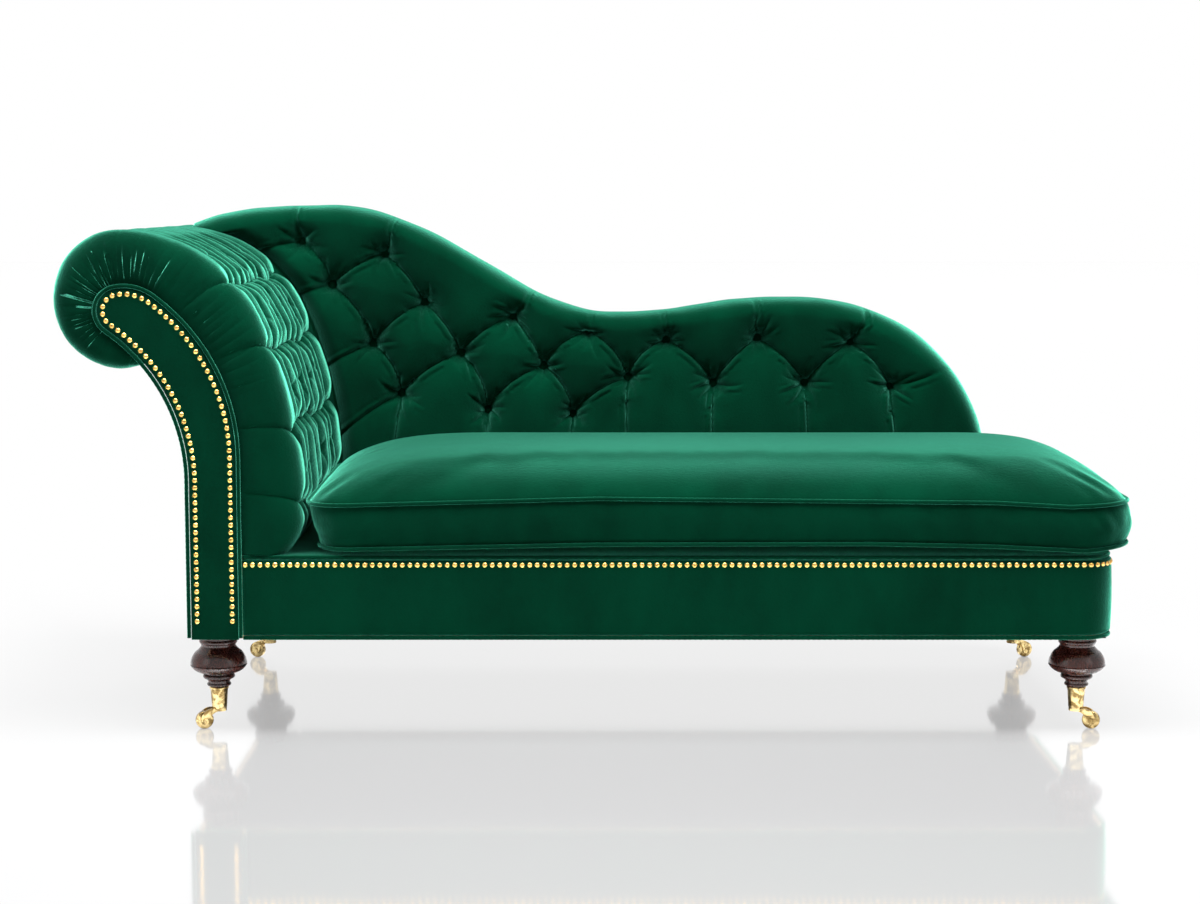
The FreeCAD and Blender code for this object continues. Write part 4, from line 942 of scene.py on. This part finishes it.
for number, end in ((1, (-700, 780)), (3, (-600, 700)), (5, (-545, 560)), (8, (-500, 440))):
    back_folds += pleat(back_buttons[number - 1], end, (1, 0.4), (1, 0.6), bow=-6)
back_folds += pleat(back_buttons[18], (690, 590), (0.5, 0), (0.8, 0), (0, 0), -8)
for place in back_buttons:
    back_folds += star(place, random)


def back_cloth(u, v):
    """The padding from its foot up over the top rail: rays from the foot line to the top line."""
    top_x, top_z = along(u * top_run[-1], top_run, top_line)
    foot_x = BACK_FOOT[0] + BACK_FOOT[1] * u
    length = np.hypot(top_x - foot_x, top_z - PAD_BOTTOM)
    way_x, way_z = (top_x - foot_x) / length, (top_z - PAD_BOTTOM) / length
    flat = v <= BACK_FLAT
    up = unit(v / BACK_FLAT) * (length - BACK_ROLL)
    turn = unit((v - BACK_FLAT) / (1 - BACK_FLAT)) * math.pi
    drop = np.where(turn < math.pi / 2, BACK_ROLL, BACK_ROLL_BEHIND)
    over = np.where(flat, up, length - drop + drop * np.sin(turn) ** 0.85)
    y = np.where(flat, BACK_FRONT, BACK_REAR - (BACK_REAR - BACK_FRONT) * np.cos(turn))
    x = foot_x + way_x * over
    z = PAD_BOTTOM + way_z * over
    normal = outwards(x, y, z)
    unrolled = np.where(flat, over, length - BACK_ROLL + turn / math.pi * BACK_ROLL_CLOTH)
    flat_x, flat_z = foot_x + way_x * unrolled, PAD_BOTTOM + way_z * unrolled
    depth, slide_x, slide_z = tufted(flat_x, flat_z, back_folds, back_buttons, BACK_TUFTING)
    depth = depth + 1.2 * waves(flat_x, flat_z, 190, 2)
    x = x + slide_x * (v < BACK_FLAT)
    z = z + slide_z * (v < BACK_FLAT)
    depth *= unit((1 - v) / 0.03)
    points = np.stack([x.ravel(), z.ravel()], axis=-1)
    beside = np.linalg.norm(points - nearest(points, pad_line[::4]), axis=1).reshape(x.shape)
    depth += CORNER_TUCK * unit(1 - beside / CORNER_REACH) ** 2 * flat
    return np.stack([x, y, z]) - normal * depth


back_mesh = cloth_grid(470, 204, back_cloth)
hemmed(back_mesh, 1, BACK_EDGE)
padded(back_mesh, "back_padding", "back_pad")
middle = BACK_FRONT + BACK_BUTTON_DEPTH
back_places = [(Vector((x, middle, z)), Vector((0, -1, 0))) for x, z in back_buttons]
covered_buttons("back_covered_buttons", back_places, "back_buttons")

# Outside back: a plain panel of velvet over calico, slip-stitched under the roll of the top
# rail and down both ends, and tacked below.

OUTSIDE_BACK = 363.6
OUTSIDE_BACK_EDGE = 367.0
OUTSIDE_FOOT = 755.0
OUTSIDE_HEAD = [(-777, 838), (-777, 752), (-738, 715), (-703, 660), (-680, 600)]
OUTSIDE_HEAD += [(-657, 520), (-647, 430)]
lowered = top_line[top_line[:, 0] > -770] + np.array([0, -9.0])
outline = [(-640.0, 300.0), (OUTSIDE_FOOT, 300.0)]
outline += [(min(x, OUTSIDE_FOOT), z) for x, z in lowered[::-6] if z > 312] + OUTSIDE_HEAD
outside_back = board(outline, 1, OUTSIDE_BACK, OUTSIDE_BACK_EDGE, ((1.5, 1.2), (3.0, 0.9)))
padded(outside_back, "back_outside_cloth", "back_outside_panel")

# Seat cushion: a loose boxed cushion of feather over foam. Top and bottom panels and a
# boxing strip are sewn with a cord in both seams; the filling crowns the top and swells the
# boxing.

CUSHION_HEAD = -484.4
CUSHION_FOOT = 894.4
CUSHION_FRONT = -369.9
CUSHION_REAR = 228.0
LOWER_SEAM = 320.0
UPPER_SEAM = 396.0
CUSHION_TOP = 468.0
CUSHION_CORNER = 70.0
CROWN_FOOT = 240.0
CROWN_HEAD = 290.0
CROWN_SIDE = 290.0
BELLY_EDGE = 28.0
BELLY_SLOPE = 80.0
BOXING_SWELL = (3, 6, 6, 11)
FILLING_INSET = 4.5
LEAN_REACH = 130.0
CROWN_FOLD_WIDTH = 9.0
BOXING_FOLD_WIDTH = 6.5
CROWN_FOLDS = [
    (866, -350, 792, -286, 5.5), (838, -362, 806, -336, 3.0), (880, -318, 846, -262, 3.0),
    (-470, -345, -424, -302, 3.0), (-478, -300, -440, -262, 2.0), (250, -366, 262, -330, 1.5),
]
BOXING_FOLDS = [
    (812, 388, 846, 350, 3.5), (846, 390, 892, 348, 4.0), (872, 326, 920, 366, 3.0),
    (786, 386, 806, 362, 2.5), (930, 384, 962, 346, 3.0), (-470, 386, -436, 356, 3.0),
    (-448, 322, -404, 342, 3.0), (-300, 326, -240, 336, 1.5), (540, 384, 585, 366, 1.5),
]


def seam_levels(x, y):
    """Height of the lower and the upper seam: they ride up and down along the front."""
    front = unit((CUSHION_REAR - y) / (CUSHION_REAR - CUSHION_FRONT))
    low = np.interp(x, [-450, 0, 459, 654, 816, 894], [-4, 5, 6, 2, -6, 2])
    high = np.interp(x, [-484, 0, 665, 789, 894], [-7, 6, -1, -8, -3])
    return LOWER_SEAM + low * front, UPPER_SEAM + high * front


def lean(x, z):
    """How far the head end of the cushion leans: pushed back below, forward above."""
    near = unit((CUSHION_HEAD + LEAN_REACH - x) / LEAN_REACH)
    return near * np.interp(z, [LOWER_SEAM, UPPER_SEAM], [16, -4])


def wrinkles(across, up, folds, width):
    """Depth of soft wrinkles that fade out towards both of their ends."""
    total = np.zeros_like(across)
    for x0, z0, x1, z1, depth in folds:
        length = math.hypot(x1 - x0, z1 - z0)
        share = ((across - x0) * (x1 - x0) + (up - z0) * (z1 - z0)) / length ** 2
        gap = ((across - x0) * (z1 - z0) - (up - z0) * (x1 - x0)) / length
        taper = unit(4 * share * (1 - share))
        shape = np.exp(-(gap / width) ** 2) - 0.6 * np.exp(-((gap - 1.6 * width) / width) ** 2)
        total += depth * taper * shape
    return total


cushion = bmesh.new()
bmesh.ops.create_cube(cushion, size=1)
for axis, cuts in ((0, 131), (1, 57), (2, 7)):
    ways = [(e, (e.verts[0].co - e.verts[1].co).normalized()) for e in cushion.edges]
    lines = [e for e, way in ways if abs(way[axis]) > 0.99]
    bmesh.ops.subdivide_edges(cushion, edges=lines, cuts=cuts, use_grid_fill=True)
flat = np.array([point.co for point in cushion.verts])
half_x = (CUSHION_FOOT - CUSHION_HEAD) / 2
half_y = (CUSHION_REAR - CUSHION_FRONT) / 2
centre_x = (CUSHION_FOOT + CUSHION_HEAD) / 2
centre_y = (CUSHION_REAR + CUSHION_FRONT) / 2
x, y = flat[:, 0] * 2 * half_x, flat[:, 1] * 2 * half_y
from_x, from_y = half_x - np.abs(x), half_y - np.abs(y)
i = unit(1 - from_x / CUSHION_CORNER)
j = unit(1 - from_y / CUSHION_CORNER)
corner = (i > 0) & (j > 0)
in_x, in_y = rounded(i, j, CUSHION_CORNER)
bent_x = np.where(corner, np.copysign(half_x - CUSHION_CORNER + in_x, x), x) + centre_x
bent_y = np.where(corner, np.copysign(half_y - CUSHION_CORNER + in_y, y), y)
inward_x = unit(from_x / np.where(x > 0, CROWN_FOOT, CROWN_HEAD))
inward_y = unit(from_y / CROWN_SIDE)
crown = (1 - (1 - inward_x) ** 2.6) ** 0.62 * (1 - (1 - inward_y) ** 3.2) ** 0.62
level = flat[:, 2] + 0.5
swell = np.interp(x, [-half_x, -half_x + 90, half_x - 150, half_x - 60], BOXING_SWELL)
swell *= np.sin(level * math.pi)
on_top = flat[:, 2] > 0.499
under = flat[:, 2] < -0.499
low, high = seam_levels(bent_x, bent_y + centre_y)
z = low + level * (high - low)
z = np.where(on_top, high + (CUSHION_TOP - high) * crown, z)
ripples = wrinkles(bent_x, bent_y + centre_y, CROWN_FOLDS, CROWN_FOLD_WIDTH)
z -= np.where(on_top, ripples, 0)
belly = unit((np.minimum(from_x, from_y) - BELLY_EDGE) / BELLY_SLOPE)
z = np.where(under, low - (low - PAD_BOTTOM - 0.6) * belly * belly * (3 - 2 * belly), z)
around = bent_x + bent_y + half_y
ripples = wrinkles(around, z, BOXING_FOLDS, BOXING_FOLD_WIDTH)
swell -= np.where((y < 0) | (x > 0), ripples, 0)
on_x, on_y = from_x < 0.5, from_y < 0.5
swell /= np.where(on_x & on_y, math.sqrt(2), 1)
bent_x += np.sign(x) * on_x * swell + lean(bent_x, z)
bent_y += np.sign(y) * on_y * swell + centre_y
held = under | ((on_x | on_y) & on_top)
for point, place in zip(cushion.verts, np.stack([bent_x, bent_y, z], axis=-1) * MM):
    point.co = place
seat_cushion = made(cushion, "seat_cushion_cover_cloth", velvet, "seat_cushion")
pinned = seat_cushion.vertex_groups.new(name="seams")
pinned.add([int(k) for k in np.nonzero(held)[0]], 1.0, "REPLACE")


def puffed(piece, pressure, slack, frames, cap):
    """Fill a closed cover with air for a few frames and keep where its cloth comes to rest."""
    rest = np.array([point.co for point in piece.data.vertices])
    cloth = piece.modifiers.new("filling", "CLOTH")
    settings = {"quality": 6, "mass": 0.3, "tension_stiffness": 25, "compression_stiffness": 25}
    settings |= {"shear_stiffness": 8, "bending_stiffness": 4.0, "use_pressure": True}
    settings |= {"uniform_pressure_force": pressure, "shrink_min": -slack}
    for name, value in {**settings, "vertex_group_mass": "seams"}.items():
        setattr(cloth.settings, name, value)
    cloth.settings.effector_weights.gravity = 0
    cloth.collision_settings.use_collision = False
    cloth.point_cache.frame_start = 1
    cloth.point_cache.frame_end = frames
    for step in range(1, frames + 1):
        scene.frame_set(step)
    shaped = piece.evaluated_get(bpy.context.evaluated_depsgraph_get())
    move = np.array([point.co for point in shaped.data.vertices]) - rest
    piece.modifiers.remove(cloth)
    scene.frame_set(1)
    far = np.linalg.norm(move, axis=1, keepdims=True)
    move *= np.minimum(1, cap * MM / np.maximum(far, 1e-9))
    for point, place in zip(piece.data.vertices, rest + move):
        point.co = place


puffed(seat_cushion, pressure=2.0, slack=0.003, frames=12, cap=4.5)
core = bmesh.new()
core.from_mesh(seat_cushion.data)
bmesh.ops.recalc_face_normals(core, faces=core.faces)
core.normal_update()
for point in core.verts:
    point.co -= point.normal * FILLING_INSET * MM
cushion_filling = made(core, "cushion_filling", wadding, "seat_cushion")
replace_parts(cushion_filling, "seat_cushion_filling")
softer = seat_cushion.modifiers.new("soft", "SUBSURF")
softer.levels = 1
softer.render_levels = 1
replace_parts(seat_cushion, "seat_cushion_cover")


SEAM_OUT = 2.6


def seam_path(seam):
    """The closed line of the lower (0) or upper (1) seam, with round corners."""
    path = []
    reach = CUSHION_CORNER + SEAM_OUT
    foot, head = CUSHION_FOOT - CUSHION_CORNER, CUSHION_HEAD + CUSHION_CORNER
    front, rear = CUSHION_FRONT + CUSHION_CORNER, CUSHION_REAR - CUSHION_CORNER
    corners = ((foot, front, -90), (foot, rear, 0), (head, rear, 90), (head, front, 180))
    for cx, cy, begin in corners:
        for angle in np.radians(np.linspace(begin, begin + 90, 16)):
            path.append((cx + reach * math.cos(angle), cy + reach * math.sin(angle)))
    path = np.array([*path, path[0]])
    run = measured(path)
    x, y = along(np.linspace(0, run[-1], 500)[:-1], run, path)
    z = seam_levels(x, y)[seam]
    return np.stack([x + lean(x, z), y, z], axis=-1)


for seam, side in enumerate(("lower", "upper")):
    replaced = f"cushion_piping_{side}"
    piping(f"cushion_cord_{side}", seam_path(seam), True, replaced, "seat_cushion")

# Legs: four turned legs of mahogany with a full bulb between beads, stained dark and french
# polished, fixed up into the corner blocks.

lacquer = {"Specular IOR Level": 0.3, "Coat Weight": 0.35, "Coat Roughness": 0.1}
mahogany = Finish("polished_mahogany", lacquer)
rings = mahogany.noise(26, (1, 1, 0.16), detail=5, distortion=0.8)
pores = mahogany.noise(420, (1, 1, 0.07), detail=2)
mahogany.colours(rings.above(0.34, 0.7), (0.034, 0.0075, 0.0045), (0.014, 0.0032, 0.0022))
mahogany.roughness(0.2 + pores * 0.14)
mahogany.bumps(pores, 0.0002, 0.4)
legs = [f"leg_{end}_{side}" for end in ("head", "foot") for side in ("front", "rear")]
finished(legs, mahogany)

# Casters: cast brass cups over the leg ends, with swivelling horns, a pin and a brass wheel,
# all polished and slightly darker in the hollows.

caster_brass = Finish("cast_brass", {"Metallic": 1.0})
cast = caster_brass.noise(75, detail=5, distortion=0.6)
caster_brass.colours(cast.above(0.42, 0.6), (0.74, 0.57, 0.27), (0.20, 0.13, 0.045))
caster_brass.roughness(0.13 + cast * 0.2)
caster_brass.bumps(cast, 0.0022, 0.8)
caster_nodes = [name for name in nodes if name.startswith("caster_")]
finished(caster_nodes, caster_brass)

# Studio: a pale glossy floor that fades to white, soft light from above and both sides, and a
# camera on a low stand straight in front. The floor turns white beside, before and behind the
# piece.

ground = Finish("white_floor", {"Base Color": (0.9, 0.9, 0.91), "Roughness": 1.0, "IOR": 1.0})
spot = ground.node("ShaderNodeTexCoord", output="Object")
across = ground.node("ShaderNodeSeparateXYZ", {}, {0: spot}, output=0)
behind = ground.node("ShaderNodeSeparateXYZ", {}, {0: spot}, output=1)
beside = across.maths("ABSOLUTE", across).above(1.0, 1.45)
faded = beside.largest((0 - behind).above(1.5, 2.4)).largest(behind.above(0.4, 1.3))


def blended(graph, factor, first, second):
    return graph.node("ShaderNodeMixShader", {}, {0: factor, 1: first, 2: second})


matt = Wire(ground, ground.surface.outputs[0])
shaded = ground.node("ShaderNodeBsdfDiffuse", {}, {"Color": (0.3, 0.3, 0.305)})
glow = ground.node("ShaderNodeEmission", {}, {"Color": (1, 1, 1), "Strength": 1.0})
polish = ground.node("ShaderNodeBsdfGlossy", {}, {"Color": (1, 1, 1), "Roughness": 0.07})
seen = ground.node("ShaderNodeLightPath", output="Is Camera Ray")
lit = blended(ground, seen, matt, blended(ground, 0.68 + faded * 0.32, shaded, glow))
skim = ground.node("ShaderNodeFresnel", {}, {"IOR": 2.2})
surface = ground.tree.nodes["Material Output"].inputs["Surface"]
ground.feed(surface, blended(ground, skim, lit, polish))

sheet = bmesh.new()
bmesh.ops.create_grid(sheet, x_segments=1, y_segments=1, size=30.0)
mesh = bpy.data.meshes.new("studio_floor")
sheet.to_mesh(mesh)
sheet.free()
mesh.materials.append(ground.material)
floor = bpy.data.objects.new("studio_floor", mesh)
scene.collection.objects.link(floor)

world = bpy.data.worlds.new("studio")
scene.world = world
world.use_nodes = True
sky = Graph(world.node_tree)
background = sky.tree.nodes["Background"]
sky.feed(background.inputs["Color"], (0.95, 0.97, 1.0))
sky.feed(background.inputs["Strength"], 0.17)
white = sky.node("ShaderNodeBackground", {}, {"Color": (1, 1, 1), "Strength": 1.0})
seen = sky.node("ShaderNodeLightPath", output="Is Camera Ray")
mirrored = sky.node("ShaderNodeLightPath", output="Is Glossy Ray")
choice = blended(sky, seen.largest(mirrored), Wire(sky, background.outputs[0]), white)
sky.feed(sky.tree.nodes["World Output"].inputs["Surface"], choice)


def softbox(name, place, aim, width, height, power):
    light = bpy.data.lights.new(name, "AREA")
    light.shape = "RECTANGLE"
    light.size = width
    light.size_y = height
    light.energy = power
    lamp = bpy.data.objects.new(name, light)
    lamp.location = place
    lamp.rotation_euler = (Vector(aim) - Vector(place)).to_track_quat("-Z", "Y").to_euler()
    scene.collection.objects.link(lamp)


softbox("overhead", (0.1, -0.65, 2.8), (0.1, 0.0, 0.4), 3.6, 1.4, 370)
softbox("left_window", (-3.4, -2.6, 2.0), (0, 0, 0.4), 1.8, 2.2, 12)
softbox("right_window", (3.4, -2.8, 2.2), (0, 0, 0.4), 1.8, 2.2, 12)
softbox("rear_rim", (0.0, 3.2, 2.6), (0, 0, 0.5), 3.4, 1.2, 170)

camera = bpy.data.cameras.new("camera")
camera.sensor_width = 36.0
camera.lens = 69.7
stand = bpy.data.objects.new("camera", camera)
stand.location = (0.005, -4.205, 0.896)
stand.rotation_euler = (math.radians(90 - 6.19), 0, 0)
scene.collection.objects.link(stand)
scene.camera = stand
scene.view_settings.view_transform = "Standard"

bpy.context.view_layer.update()
